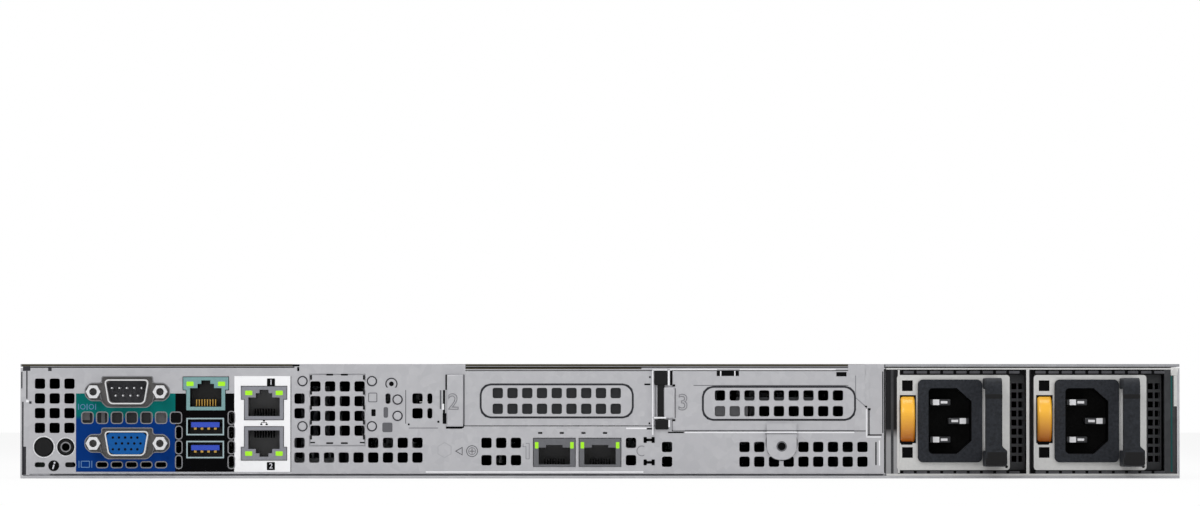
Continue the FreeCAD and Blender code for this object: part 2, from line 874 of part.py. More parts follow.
def lom_bracket():
    """Bracket of the first slot with openings for two jacks."""
    cutters = []
    for x, columns in (("lom_vent_x", 3), ("lom_right_vent", 1)):
        for centre in grid(x, "lom_vent_z", columns, 2, "vent_pitch", "lom_vent_rise"):
            cutters.append(hole(*centre, "vent_size", "vent_size"))
    for centre in grid("lom_slit_x", "lom_slit_z", 4, 1, "lom_slit_pitch"):
        cutters.append(hole(*centre, "lom_slit_width", "lom_slit_height"))
    for centre in grid("lom_jack_first", "lom_jack_z", LOM_JACK_COUNT, 1, "lom_jack_pitch"):
        cutters.append(hole(*centre, "lom_jack_width + 2 * rj_fit", "lom_jack_height + 2 * rj_fit"))
    node("lom_bracket", cut(bracket("lom_plate", slot_windows()[2]), cutters))


def card_clamps():
    """Clamp beside slot two, and the latch with its clip between the two slots."""
    at = ("0", REAR, "0")
    clamp = bare_body("clamp", at)
    tongue = outline([
        ("clamp2_left + clamp_radius", "clamp2_bottom"), ("clamp2_right", "clamp2_bottom"),
        ("clamp2_right", "clamp2_top"), ("clamp2_left + clamp_radius", "clamp2_top"),
        ("clamp2_left", "clamp2_top - clamp_radius"), ("clamp2_left", "clamp2_bottom + clamp_radius"),
    ], {3: "clamp_radius", 5: "clamp_radius"})
    stand(clamp, [(tongue, ("0", "0"))], "clamp_proud", "clamp_proud")
    latch = box(("clamp3_left", "clamp3_right"), (back("-clamp_proud"), REAR), ("lom_top", WALL_TOP))
    clip = bare_body("clip", at)
    finger = outline([
        ("clamp3_left", "clip3_bottom"), ("clip3_right - clip_radius", "clip3_bottom"),
        ("clip3_right", "clip3_bottom + clip_radius"), ("clip3_right", "clip3_top - clip_radius"),
        ("clip3_right - clip_radius", "clip3_top"), ("clamp3_left", "clip3_top"),
    ], {1: "clip_radius", 3: "clip_radius"})
    stand(clip, [(finger, ("0", "0"))], "clamp_proud", "clamp_proud")
    node("card_clamps", group([clamp, join([latch, clip])]))


def psu_walls():
    """Positions of the three walls of the power supply bays."""
    return [f"(psu_first_x + {index - 0.5} * psu_pitch)" for index in range(PSU_COUNT + 1)]


def psu_centres():
    """Middle of each power supply bay."""
    return [f"(psu_first_x + {index} * psu_pitch)" for index in range(PSU_COUNT)]


def psu_cage():
    """Upright walls of the power supply bays, tied by a cross wall with two windows."""
    walls = psu_walls()
    height = ("sheet_gauge", WALL_TOP)
    pieces = [box(around(x, "sheet_gauge"), (REAR, back("cage_depth")), height) for x in walls]
    pieces.append(box((walls[-1], f"{INSIDE} - lid_gap"), (REAR, back("sheet_gauge")), height))
    cross = (back("cross_wall"), back("cross_wall + sheet_gauge"))
    windows = []
    for x in psu_centres():
        width = around(x, "socket_width + 2 * lid_gap")
        windows.append(box(width, cross, around("edge_card_z", "socket_height + 2 * lid_gap")))
    pieces.append(cut(box((walls[0], walls[-1]), cross, height), windows))
    node("psu_cage", join(pieces))


def bay_centres():
    """Middle of each drive bay."""
    return [f"({index - (BAY_COUNT - 1) / 2} * bay_pitch)" for index in range(BAY_COUNT)]


def drive_cage():
    """Fixed roof over the drives, bay ceiling, bay walls and the vent strip above the bays."""
    between = (f"-{INSIDE} + lid_gap", f"{INSIDE} - lid_gap")
    pieces = [box((f"-{SIDE}", SIDE), (f"{LID_FRONT} + lid_gap", RACK_FACE), (ROOF, "chassis_height"))]
    pieces.append(box(between, (back("bay_back"), RACK_FACE), ("bay_top", "bay_top + sheet_gauge")))
    strip = (f"{RACK_FACE} - sheet_gauge", RACK_FACE)
    holes = []
    for index in range(STRIP_VENT_COUNT):
        x = f"({index - (STRIP_VENT_COUNT - 1) / 2} * strip_vent_pitch)"
        z = f"(bay_top + {ROOF} + sheet_gauge) / 2"
        holes.append(box(around(x, "strip_vent_width"), strip, around(z, "strip_vent_height")))
    pieces.append(cut(box(between, strip, ("bay_top", ROOF)), holes))
    for index in range(1, BAY_COUNT):
        wall = around(f"({index - BAY_COUNT / 2} * bay_pitch)", "sheet_gauge")
        pieces.append(box(wall, (back("bay_back"), RACK_FACE), ("sheet_gauge", "bay_top")))
    node("drive_cage", join(pieces))


def across(side, near, far):
    """Bounds along X of what lies between two distances to one side of the middle."""
    bounds = (f"{side} * ({near})", f"{side} * ({far})")
    return bounds if side > 0 else bounds[::-1]


def rack_ears():
    """Rack flange with its screw hole, an arm along the side wall and a nose in front, per side."""
    height = ("lid_gap", "chassis_height - lid_gap")
    for label, side in (("ear_left", -1), ("ear_right", 1)):
        flange_depth = (f"{RACK_FACE} - ear_gauge", RACK_FACE)
        flange = box(across(side, SIDE, f"{SIDE} + ear_reach"), flange_depth, height)
        arm_depth = (f"{RACK_FACE} - ear_arm", RACK_FACE)
        arm = box(across(side, SIDE, f"{SIDE} + sheet_gauge"), arm_depth, height)
        nose = box(across(side, SIDE, f"{SIDE} + nose_width"), (RACK_FACE, FRONT), height)
        hole_x = f"{side} * ({SIDE} + rack_hole_out)"
        hole_start = (hole_x, f"{RACK_FACE} - 1.5 * ear_gauge", "chassis_height / 2")
        tools = [rod("rack_hole_radius", "2 * ear_gauge", hole_start, "y")]
        if side > 0:
            well = (f"{SIDE} + nose_width / 2", f"{FRONT} - power_well_depth", "power_z")
            tools.append(rod("power_well", "power_well_depth", well, "y"))
        node(label, cut(join([flange, arm, nose]), tools))


def rail_posts():
    """Headed posts on both side walls that hang in the slide rails."""
    posts = []
    for side, end in ((-1, f"-{SIDE} - post_length"), (1, SIDE)):
        head = f"-{SIDE} - post_length - post_head" if side < 0 else f"{SIDE} + post_length"
        for index in range(POSTS_PER_SIDE):
            y = back(f"post_first + {index} * post_pitch")
            shank = prism(HEX, "post_radius", "post_length", (end, y, "chassis_height / 2"), "x")
            cap = prism(ROUND_FACES, "post_head_radius", "post_head", (head, y, "chassis_height / 2"), "x")
            posts.append(join([shank, cap]))
    node("rail_posts", group(posts))


# Boards and what stands on them


def boards():
    """Main board with the button's switch and a gap for the network card, that card, and two risers."""
    level = ("board_z", BOARD_TOP)
    main_depth = (back("board_back"), back("board_front"))
    main = box((f"{PANEL_LEFT} + side_gap", "board_right"), main_depth, level)
    gap_depth = (REAR, back("lom_card_depth + lid_gap"))
    gap = box(("lom_left - lid_gap", "lom_right + lid_gap"), gap_depth, level)
    switch_depth = (back("switch_back"), back("switch_back + switch_depth"))
    switch_height = (BOARD_TOP, "button_z + switch_width / 2")
    switch = box(around("button_x", "switch_width"), switch_depth, switch_height)
    node("motherboard", join([cut(main, [gap]), switch]))
    cards = [box(("lom_left", "lom_right"), (back("board_back"), back("lom_card_depth")), level)]
    for x in ("riser2_x", "riser3_x"):
        depth = (back("riser_back"), back("riser_back + riser_depth"))
        blade = box((x, f"{x} + riser_gauge"), depth, (BOARD_TOP, "riser_top"))
        start = "riser_back + riser_socket_back"
        socket_depth = (back(start), back(f"{start} + riser_socket_length"))
        socket_height = around("riser_socket_z", "riser_socket_height")
        socket = box((f"{x} - riser_socket_reach", x), socket_depth, socket_height)
        cards.append(join([blade, socket]))
    node("option_cards", group(cards))


def power_board():
    """Upright board with a slotted socket behind each power supply."""
    faces = (back("cage_depth"), back("cage_depth + power_board_gauge"))
    walls = psu_walls()
    width = (f"{walls[0]} - sheet_gauge", f"{walls[-1]} + sheet_gauge")
    pieces = [box(width, faces, ("sheet_gauge", "riser_top"))]
    slots = []
    for x in psu_centres():
        depth = (back("cross_wall - 1.5 * sheet_gauge"), back("cage_depth"))
        pieces.append(box(around(x, "socket_width"), depth, around("edge_card_z", "socket_height")))
        slot = around(x, "edge_card_width + 4 * lid_gap")
        slots.append(box(slot, depth, around("edge_card_z", "socket_slot")))
    node("power_board", cut(join(pieces), slots))


def cpu_heatsinks():
    """Two finned blocks on pedestals."""
    sinks = []
    for index in range(SINK_COUNT):
        x = f"(sink_first_x + {index} * sink_pitch)"
        depth = (back("sink_back"), back("sink_back + sink_length"))
        block = box(around(x, "sink_width"), depth, ("sink_base", "sink_top"))
        foot_depth = around(back("sink_back + sink_length / 2"), "sink_foot")
        foot = box(around(x, "sink_foot"), foot_depth, (BOARD_TOP, "sink_base"))
        channels = []
        for channel in range(SINK_CHANNELS):
            middle = f"{x} + {channel - (SINK_CHANNELS - 1) / 2} * sink_fin_pitch"
            height = ("sink_base + sink_plate", "sink_top")
            channels.append(box(around(middle, "sink_channel"), depth, height))
        sinks.append(cut(join([block, foot]), channels))
    node("cpu_heatsinks", group(sinks))


def memory_modules():
    """Upright memory modules in their sockets, in three blocks beside the heat sinks."""
    modules = []
    for first, count in (("memory_left", 4), ("memory_middle", 8), ("memory_right", 4)):
        for index in range(count):
            x = f"({first} + {index} * memory_pitch)"
            depth = (back("memory_back"), back("memory_back + memory_length"))
            rest = (BOARD_TOP, f"{BOARD_TOP} + memory_socket_height")
            socket = box(around(x, "memory_socket"), depth, rest)
            inner = (back("memory_back + memory_inset"), back("memory_back + memory_length - memory_inset"))
            blade = box(around(x, "memory_gauge"), inner, (BOARD_TOP, "memory_top"))
            modules.append(join([socket, blade]))
    node("memory_modules", group(modules))


def air_shroud():
    """Thin hood that guides air over the heat sinks and memory."""
    depth = (back("shroud_back"), back("shroud_front"))
    left = f"({PANEL_LEFT} + side_gap)"
    roof = box((left, "board_right"), depth, ("shroud_top - shroud_gauge", "shroud_top"))
    height = (BOARD_TOP, "shroud_top")
    skirts = [box((left, f"{left} + shroud_gauge"), depth, height)]
    skirts.append(box(("board_right - shroud_gauge", "board_right"), depth, height))
    node("air_shroud", join([roof, *skirts]))


def fan_centres():
    """Middle of each fan across the chassis."""
    return [f"({index - (FAN_COUNT - 1) / 2} * fan_pitch)" for index in range(FAN_COUNT)]


def fans():
    """Six square fan frames with a motor boss on struts, and a bladed rotor in each."""
    middle = "(sheet_gauge + fan_height / 2)"
    depth = (back("fan_back"), back("fan_back + fan_depth"))
    rib_depth = (back("fan_back"), back("fan_back + fan_boss_depth"))
    frames = []
    for index, x in enumerate(fan_centres(), start=1):
        shell = box(around(x, "fan_width"), depth, ("sheet_gauge", "sheet_gauge + fan_height"))
        start = (x, back("fan_back"), middle)
        tube = prism(ROUND_FACES, "fan_bore", "fan_depth", start, "y")
        boss = prism(ROUND_FACES, "fan_boss", "fan_boss_depth", start, "y")
        level = box(around(x, "2 * fan_bore"), rib_depth, around(middle, "fan_strut"))
        upright = box(around(x, "fan_strut"), rib_depth, around(middle, "2 * fan_bore"))
        frames.append(join([cut(shell, [tube]), boss, level, upright]))
        rotor(f"fan_rotor_{index}", (x, back("fan_back + fan_boss_depth + rotor_gap"), middle))
    node("fan_frames", group(frames))


def rotor(label, at):
    """Hub with slanted flat blades about the Y axis."""
    piece = body(label, at)
    stand(piece, [(facets("hub_radius", 2 * BLADE_COUNT), ("0", "0"))], "0", "hub_length")
    slant = outline([
        ("-blade_sweep", "blade_start"), ("-blade_sweep + blade_thickness", "blade_start"),
        ("blade_sweep", "blade_end"), ("blade_sweep - blade_thickness", "blade_end"),
    ])
    root = "(hub_radius - 2 * blade_thickness)"
    vane = extrude(piece, sketch(piece, "XY_Plane", root, [(slant, ("0", "0"))]), f"blade_tip - {root}")
    ring = piece.newObject("PartDesign::PolarPattern", "ring")
    ring.Originals = [vane]
    ring.Axis = (origin_part(piece, "Y_Axis"), [""])
    ring.Angle = 360
    ring.Occurrences = BLADE_COUNT
    piece.Tip = ring
    doc.recompute()


def drive_backplane():
    """Upright board behind the drives with a plug per bay and air openings above them."""
    faces = (back("backplane_back"), back("backplane_back + backplane_gauge"))
    width = (f"-{INSIDE} + side_gap", f"{INSIDE} - side_gap")
    pieces = [box(width, faces, ("sheet_gauge", "backplane_top"))]
    airways = []
    for x in bay_centres():
        reach = (back("backplane_back"), back("backplane_back + backplane_gauge + plug_reach"))
        pieces.append(box(around(x, "plug_width"), reach, ("plug_bottom", "plug_bottom + plug_height")))
        airways.append(box(around(x, "airway_width"), faces, around("bay_top", "airway_height")))
    node("drive_backplane", cut(join(pieces), airways))


# Ports of the rear wall


def dsub_window():
    """Opening for a D-shaped connector and its two jack screws."""
    wing = "(dsub_cut_width / 2)"
    wing_rise = "(dsub_cut_wing / 2)"
    core = "(dsub_cut_core / 2)"
    rise = "(dsub_cut_height / 2)"
    clip = "dsub_cut_clip"
    right = [
        (f"{core} - {clip}", f"-{rise}"), (core, f"-{rise} + {clip}"), (core, f"-{wing_rise}"),
        (f"{wing} - {clip}", f"-{wing_rise}"), (wing, f"-{wing_rise} + {clip}"),
        (wing, f"{wing_rise} - {clip}"), (f"{wing} - {clip}", wing_rise),
        (core, wing_rise), (core, rise),
    ]
    left = [(f"-({u})", v) for u, v in reversed(right)]
    return outline(right + left)


def dsub_outline(inset):
    """D-shaped outline, wider at the top, drawn in by an inset."""
    top = f"(dsub_top / 2 - ({inset}))"
    bottom = f"(dsub_bottom / 2 - ({inset}))"
    rise = f"(dsub_height / 2 - ({inset}))"
    right = [(f"{bottom} - dsub_clip", f"-{rise}"), (f"{bottom}", f"-{rise} + dsub_clip / 2"),
             (top, f"{rise} - dsub_clip"), (f"{top} - dsub_clip", rise)]
    left = [(f"-({u})", v) for u, v in reversed(right)]
    return outline(right + left)


def dsub_connectors():
    """Serial and video connectors: flange with a D shell, insulating body, and the jack screws."""
    screws = []
    kinds = (("serial", "serial_z", "-sheet_gauge"), ("vga", "video_z", "dsub_reach - dsub_wall"))
    for name, z, insert_front in kinds:
        centre = ("dsub_x", z)
        shell = body(f"{name}_shell", ("0", REAR, "0"))
        flange = rectangle("dsub_flange_width", "dsub_flange_height")
        stand(shell, [(flange, centre)], "-sheet_gauge", "sheet_gauge")
        stand(shell, [(dsub_outline("0"), centre)], "dsub_reach", "dsub_reach + 2 * sheet_gauge")
        sink(shell, [(dsub_outline("dsub_wall"), centre)])
        insert = body(f"{name}_insert", ("0", REAR, "0"))
        front = f"({insert_front})"
        stand(insert, [(dsub_outline("dsub_wall"), centre)], front, f"{front} + 2 * sheet_gauge")
        block = rectangle("dsub_flange_width - 2 * dsub_wall", "dsub_flange_height - dsub_wall")
        stand(insert, [(block, centre)], "-2 * sheet_gauge", "dsub_body_depth")
        for side in (-1, 1):
            start = (f"dsub_x + {side} * jackscrew_spacing / 2", back("sheet_gauge - jackscrew_length"), z)
            post = prism(HEX, "jackscrew_corner", "jackscrew_length", start, "y")
            screws.append(cut(post, [rod("jackscrew_bore", "jackscrew_length", start, "y")]))
    node("jack_screws", group(screws))


def jack_outline(margin, up):
    """T-shaped front of a modular jack, wide end up or down, measured from its narrow end."""
    wide = f"(rj_width / 2 + {margin})"
    neck = f"(rj_neck / 2 + {margin})"
    low = f"-({up}) * ({margin})"
    shoulder = f"({up}) * (rj_height - rj_shoulder - {margin})"
    high = f"({up}) * (rj_height + {margin})"
    right = [(neck, low), (neck, shoulder), (wide, shoulder), (wide, high)]
    left = [(f"-{u}", v) for u, v in reversed(right)]
    return outline(right + left)


def jack_mouth(up):
    """Stepped opening of a modular jack with room for the plug's clip."""
    edges = [("rj_mouth", "rj_sill"), ("rj_mouth", "rj_sill + rj_mouth_height")]
    step = "rj_sill + rj_mouth_height + rj_step_height"
    edges += [("rj_step", "rj_sill + rj_mouth_height"), ("rj_step", step)]
    edges += [("rj_notch", step), ("rj_notch", f"{step} + rj_notch_height")]
    right = [(f"{width} / 2", f"({up}) * ({rise})") for width, rise in edges]
    left = [(f"-{u}", v) for u, v in reversed(right)]
    return outline(right + left)


def management_port():
    """Single modular jack above the bus sockets, on a column behind them."""
    piece = body("management_port", ("0", REAR, "0"))
    centre = ("manage_x", "manage_z")
    stand(piece, [(jack_outline("0", 1), centre)], "rj_proud", "rj_depth")
    column = rectangle("rj_neck", f"manage_z - {BOARD_TOP}")
    behind = "(usb_depth + sheet_gauge)"
    column_centre = ("manage_x", f"(manage_z + {BOARD_TOP}) / 2")
    stand(piece, [(column, column_centre)], f"-{behind}", f"rj_depth - rj_proud - {behind}")
    sink(piece, [(jack_mouth(1), centre)], "rj_proud", "rj_cavity")


def ethernet_ports():
    """Two modular jacks stacked mouth to mouth in one block."""
    piece = body("ethernet_ports", ("0", REAR, "0"))
    upper = ("ether_x", "ether_upper_z")
    lower = ("ether_x", "ether_lower_z")
    stand(piece, [(jack_outline("0", 1), upper), (jack_outline("0", -1), lower)], "rj_proud", "rj_depth")
    top = "(ether_upper_z + rj_height)"
    block = rectangle("rj_width", f"{top} - {BOARD_TOP}")
    stand(piece, [(block, ("ether_x", f"({top} + {BOARD_TOP}) / 2"))], "-sheet_gauge - lid_gap", "rj_depth")
    sink(piece, [(jack_mouth(1), upper), (jack_mouth(-1), lower)], "rj_proud", "rj_cavity")


def lom_ports():
    """Two modular jacks of the network card."""
    jacks = []
    for index in range(LOM_JACK_COUNT):
        x = f"(lom_jack_first + {index} * lom_jack_pitch)"
        depth = (back("-rj_proud"), back("rj_depth"))
        bottom = "(lom_jack_z - lom_jack_height / 2)"
        front = box(around(x, "lom_jack_width"), depth, (BOARD_TOP, f"{bottom} + lom_jack_height"))
        sill = f"({bottom} + rj_sill / 2)"
        hollow = (back("-rj_proud"), back("rj_cavity"))
        mouth = box(around(x, "rj_mouth"), hollow, (sill, f"{sill} + rj_mouth_height - rj_sill / 2"))
        step_top = f"{sill} + rj_mouth_height + rj_step_height - rj_sill"
        step = box(around(x, "rj_step"), hollow, (sill, step_top))
        jacks.append(cut(front, [join([mouth, step])]))
    node("lom_ports", group(jacks))


def usb_sockets():
    """Stacked bus sockets: hollow metal mouths on one block, and the contact tongues inside."""
    width = around("usb_x", "usb_width")
    rise = (BOARD_TOP, "usb_upper_z + usb_height / 2")
    stack = [box(width, (back("sheet_gauge + lid_gap"), back("usb_depth")), rise)]
    hollows = []
    tongues = []
    for z in ("usb_upper_z", "usb_lower_z"):
        stack.append(box(width, (back("-rj_proud"), back("usb_depth")), around(z, "usb_height")))
        cavity = (back("-rj_proud"), back("usb_depth - 2 * usb_wall"))
        inner = around("usb_x", "usb_width - 2 * usb_wall")
        hollows.append(box(inner, cavity, around(z, "usb_height - 2 * usb_wall")))
        reach = (back("usb_wall"), back("usb_depth - 2 * usb_wall"))
        tongue = around(f"{z} + usb_tongue_rise", "usb_tongue_gauge")
        tongues.append(box(around("usb_x", "usb_tongue"), reach, tongue))
    node("usb_shells", cut(join(stack), hollows))
    node("usb_tongues", group(tongues))


def corner_controls():
    """Round push button and the small round jack beside it."""
    at = ("button_x", back("-button_proud"), "button_z")
    node("id_button", prism(BUTTON_FACES, "button_radius", "button_length", at, "y"))
    mouth = ("jack_x", back("-rj_proud"), "button_z")
    sleeve = prism(BUTTON_FACES, "jack_radius", "jack_length", mouth, "y")
    foot_depth = (back("sheet_gauge + lid_gap"), back("jack_length - rj_proud"))
    foot = box(around("jack_x", "2 * jack_radius"), foot_depth, (BOARD_TOP, "button_z"))
    hole = rod("jack_bore", "jack_length - sheet_gauge", mouth, "y")
    node("status_jack", cut(join([sleeve, foot]), [hole]))


# Cover


def top_cover():
    """Removable cover with side flanges, rear notches for the wall's tabs and a recess for its latch."""
    height = (ROOF, "chassis_height")
    plate = box((f"-{SIDE}", SIDE), (REAR, LID_FRONT), height)
    pieces = [plate]
    outer = f"({INSIDE} - lid_gap)"
    run = (back("2 * panel_flange"), f"{LID_FRONT} - lid_flange")
    drop = (f"{ROOF} - lid_flange", ROOF)
    pieces.append(box((f"-{outer}", f"-{outer} + sheet_gauge"), run, drop))
    pieces.append(box((f"{outer} - sheet_gauge", outer), run, drop))
    tray_width = around("tray_x", "tray_width + 2 * sheet_gauge")
    tray_run = (back("tray_back - sheet_gauge"), back("tray_back + tray_length + sheet_gauge"))
    pieces.append(box(tray_width, tray_run, ("chassis_height - tray_depth - sheet_gauge", ROOF)))
    well_run = (back("tray_back"), back("tray_back + tray_length"))
    well = box(around("tray_x", "tray_width"), well_run, ("chassis_height - tray_depth", "chassis_height"))
    notch_run = (REAR, back("sheet_gauge + lid_gap"))
    cutters = [well]
    for low, high in wall_tabs():
        cutters.append(box((f"{low} - lid_gap", f"{high} + lid_gap"), notch_run, height))
    node("top_cover", cut(join(pieces), cutters))


def cover_latch():
    """Flat lever in the cover's recess, on a pin across its front end."""
    pivot_y = back("tray_back + tray_length - lever_margin")
    axis_z = "(chassis_height - lid_gap - lever_radius)"
    barrel_length = "(tray_width - 2 * lid_gap)"
    barrel_start = (f"tray_x - {barrel_length} / 2", pivot_y, axis_z)
    barrel = prism(ROUND_FACES, "lever_radius", barrel_length, barrel_start, "x")
    run = (back("tray_back + finger_gap"), pivot_y)
    plate = box(around("tray_x", "lever_width"), run, (axis_z, f"{axis_z} + lever_gauge"))
    node("cover_latch", join([barrel, plate]))


# Power supplies


def power_supply(index, x):
    """Plug-in supply: perforated case, raised face, inlet with blades, release lever and grip."""
    name = f"psu_{index}"
    at = (x, REAR, "0")
    case = bare_body(f"{name}_shell", at)
    middle = ("0", "psu_bottom + psu_height / 2")
    stand(case, [(rectangle("psu_width", "psu_height"), middle)], "-psu_recess", "psu_depth")
    hollow = rectangle("psu_width - 2 * sheet_gauge", "psu_height - 2 * sheet_gauge")
    sink(case, [(hollow, middle)], "-psu_recess - sheet_gauge", "psu_depth - 2 * sheet_gauge")
    card = rectangle("edge_card_width", "edge_card_gauge")
    stand(case, [(card, ("0", "edge_card_z"))], "-psu_recess - psu_depth", "edge_card_reach")
    wall = ("psu_recess - sheet_gauge", "psu_recess + 2 * sheet_gauge")
    cutters = [hole(f"{x} + inlet_x", "inlet_z", "inlet_core_width", "inlet_core_height", wall)]
    dash_start = (f"{x} + face_left + dash_pitch / 2", "psu_bottom + dash_height")
    for centre in grid(*dash_start, DASH_COLUMNS, 2, "dash_pitch", "psu_height - 2 * dash_height"):
        cutters.append(hole(*centre, "dash_width", "dash_height", wall))
    hole_start = (f"{x} + face_left + face_width + side_hole_width", "side_hole_bottom")
    for centre in grid(*hole_start, SIDE_HOLE_COLUMNS, SIDE_HOLE_ROWS, "side_hole_pitch", "side_hole_rise"):
        cutters.append(hole(*centre, "side_hole_width", "side_hole_height", wall))
    node(f"{name}_case", cut(case, cutters))

    face_centre = ("face_left + face_width / 2", "face_bottom + face_height / 2")
    face = body(f"{name}_face", at)
    stand(face, [(rounded("face_width", "face_height", "face_radius"), face_centre)], "0", "psu_recess")
    inside = rectangle("face_width - 2 * sheet_gauge", "face_height - 2 * sheet_gauge")
    sink(face, [(inside, face_centre)], "-sheet_gauge", "psu_recess")
    slot = rectangle("latch_width + latch_travel + lid_gap", "latch_height + 2 * lid_gap")
    window = rectangle("face_hole", "face_hole")
    sink(face, [
        (rounded("inlet_width", "inlet_height", "inlet_radius"), ("inlet_x", "inlet_z")),
        (slot, ("latch_x + (latch_travel - lid_gap) / 2", "latch_z")),
        (window, ("latch_x", "latch_z - face_hole_rise")),
        (window, ("latch_x", "latch_z + face_hole_rise")),
    ])
    inlet(f"{name}_inlet", at)
    release_lever(f"{name}_latch", x)
    grip(f"{name}_handle", at)


def inlet(label, at):
    """Moulded mains inlet, its mouth clipped at two corners, with three blades."""
    centre = ("inlet_x", "inlet_z")
    piece = body(label, at)
    flange = rounded("inlet_width", "inlet_height", "inlet_radius")
    stand(piece, [(flange, centre)], "inlet_proud", "inlet_proud + psu_recess")
    core = rectangle("inlet_core_width", "inlet_core_height")
    stand(piece, [(core, centre)], "-psu_recess", "inlet_core_depth - psu_recess")
    half_w = "(mouth_width / 2)"
    half_h = "(mouth_height / 2)"
    mouth = outline([
        (f"-{half_w} + mouth_radius", f"-{half_h}"), (f"{half_w} - mouth_clip_x", f"-{half_h}"),
        (half_w, f"-{half_h} + mouth_clip_z"), (half_w, f"{half_h} - mouth_clip_z"),
        (f"{half_w} - mouth_clip_x", half_h), (f"-{half_w} + mouth_radius", half_h),
        (f"-{half_w}", f"{half_h} - mouth_radius"), (f"-{half_w}", f"-{half_h} + mouth_radius"),
    ], {5: "mouth_radius", 7: "mouth_radius"})
    sink(piece, [(mouth, centre)], "inlet_proud", "mouth_depth")
    blade = rectangle("blade_width", "blade_gauge")
    blades = []
    for shift, rise in (("blade_side", "-blade_rise"), ("blade_side", "blade_rise"), ("blade_earth", "0")):
        blades.append((blade, (f"inlet_x + {shift}", f"inlet_z + {rise}")))
    stand(piece, blades, "blade_length + inlet_proud - mouth_depth", "blade_length")


def release_lever(label, x):
    """Release lever: an upright barrel pivot inside the face and a rounded thumb pad outside."""
    level = "(latch_z - latch_height / 2)"
    foot = (f"{x} + latch_x", back("latch_pivot"), level)
    pivot = prism(ROUND_FACES, "latch_width / 2 - lid_gap", "latch_height", foot, "z")
    pad_back = back("latch_width / 2 - latch_reach")
    pad = prism(BUTTON_FACES, "latch_width / 2", "latch_height", (f"{x} + latch_x", pad_back, level), "z")
    depth = (pad_back, back("latch_pivot"))
    stem = box(around(f"{x} + latch_x", "latch_width / 2"), depth, (level, f"{level} + latch_height"))
    node(label, join([pivot, pad, stem]))


def grip(label, at):
    """Pull grip: two arms on the face and an upright bar with round outer corners."""
    piece = body(label, at)
    inner = "(grip_reach - grip_bar)"
    bow = outline([
        ("0", "grip_top"), ("-grip_reach + grip_radius", "grip_top"),
        ("-grip_reach", "grip_top - grip_radius"), ("-grip_reach", "grip_bottom + grip_radius"),
        ("-grip_reach + grip_radius", "grip_bottom"), ("0", "grip_bottom"),
        ("0", "grip_bottom + grip_foot"), (f"-{inner}", "grip_bottom + grip_foot"),
        (f"-{inner}", "grip_top - grip_head"), ("0", "grip_top - grip_head"),
    ], {1: "grip_radius", 3: "grip_radius"})
    extrude(piece, sketch(piece, "YZ_Plane", "grip_x - grip_width / 2", [(bow, ("0", "0"))]), "grip_width")


# Drive carriers


def drive_carriers():
    """Trays with a vented front, two side rails and a disk, each with a handle on an upright pin."""
    middle = "(carrier_bottom + carrier_height / 2)"
    front = (RACK_FACE, f"{RACK_FACE} + carrier_front")
    for index, x in enumerate(bay_centres(), start=1):
        block = box(around(x, "carrier_width"), front, around(middle, "carrier_height"))
        rails = []
        for side in (-1, 1):
            rail_x = f"{x} + {side} * (carrier_width - carrier_rail) / 2"
            run = (f"{RACK_FACE} - carrier_depth", RACK_FACE)
            rails.append(box(around(rail_x, "carrier_rail"), run, around(middle, "drive_height")))
        tools = []
        for column in range(CARRIER_VENTS):
            vent_x = f"{x} + {column - (CARRIER_VENTS - 1) / 2} * carrier_vent_pitch"
            for side in (-1, 1):
                level = around(f"{middle} + {side} * carrier_vent_rise", "carrier_vent_height")
                tools.append(box(around(vent_x, "carrier_vent_width"), front, level))
        pivot_x = f"({x} + handle_pivot)"
        nest = (f"{pivot_x} - handle_length - handle_nest", f"{pivot_x} + handle_radius + handle_gap")
        nest_depth = (f"{RACK_FACE} + carrier_front - handle_nest", f"{RACK_FACE} + carrier_front")
        tools.append(box(nest, nest_depth, around(middle, "handle_height + 2 * handle_gap")))
        tray = cut(join([block, *rails]), tools)
        disk_run = (f"{RACK_FACE} - handle_radius - drive_length", f"{RACK_FACE} - handle_radius")
        disk = box(around(x, "drive_width"), disk_run, around(middle, "drive_height"))
        node(f"drive_carrier_{index}", group([tray, disk]))

        pivot_y = f"({RACK_FACE} + carrier_front - handle_radius)"
        height = around(middle, "handle_height")
        pin = prism(ROUND_FACES, "handle_radius", "handle_height", (pivot_x, pivot_y, height[0]), "z")
        bar = box((f"{pivot_x} - handle_length", pivot_x), around(pivot_y, "handle_gauge"), height)
        node(f"carrier_handle_{index}", join([pin, bar]))


def power_button():
    """Round push button sunk in the right ear's nose."""
    at = (f"{SIDE} + nose_width / 2", f"{FRONT} - power_sink - power_length", "power_z")
    node("power_button", prism(BUTTON_FACES, "power_radius", "power_length", at, "y"))


for make in (
    chassis_base, port_plate, jack_plate, rear_panel, slot_covers, lom_bracket, card_clamps, psu_cage,
    drive_cage, rack_ears, rail_posts, boards, power_board, cpu_heatsinks, memory_modules, air_shroud, fans,
    drive_backplane,
    dsub_connectors, management_port, ethernet_ports, lom_ports, usb_sockets, corner_controls,
    top_cover, cover_latch, drive_carriers, power_button,
):
    make()
for number, middle in enumerate(psu_centres(), start=1):
    power_supply(number, middle)

# Every object is sound before any file is written
doc.recompute()
for thing in doc.Objects:
    if {"Invalid", "Error"} & set(thing.State):
        raise ValueError(f"{thing.Label} failed: {thing.State}")
for thing in nodes:
    if thing.Shape.isNull() or not thing.Shape.isValid():
        raise ValueError(f"{thing.Label} has no sound shape")
os.makedirs("parts", exist_ok=True)
for thing in nodes:
    thing.Shape.exportStep(os.path.join("parts", f"{thing.Label}.step"))
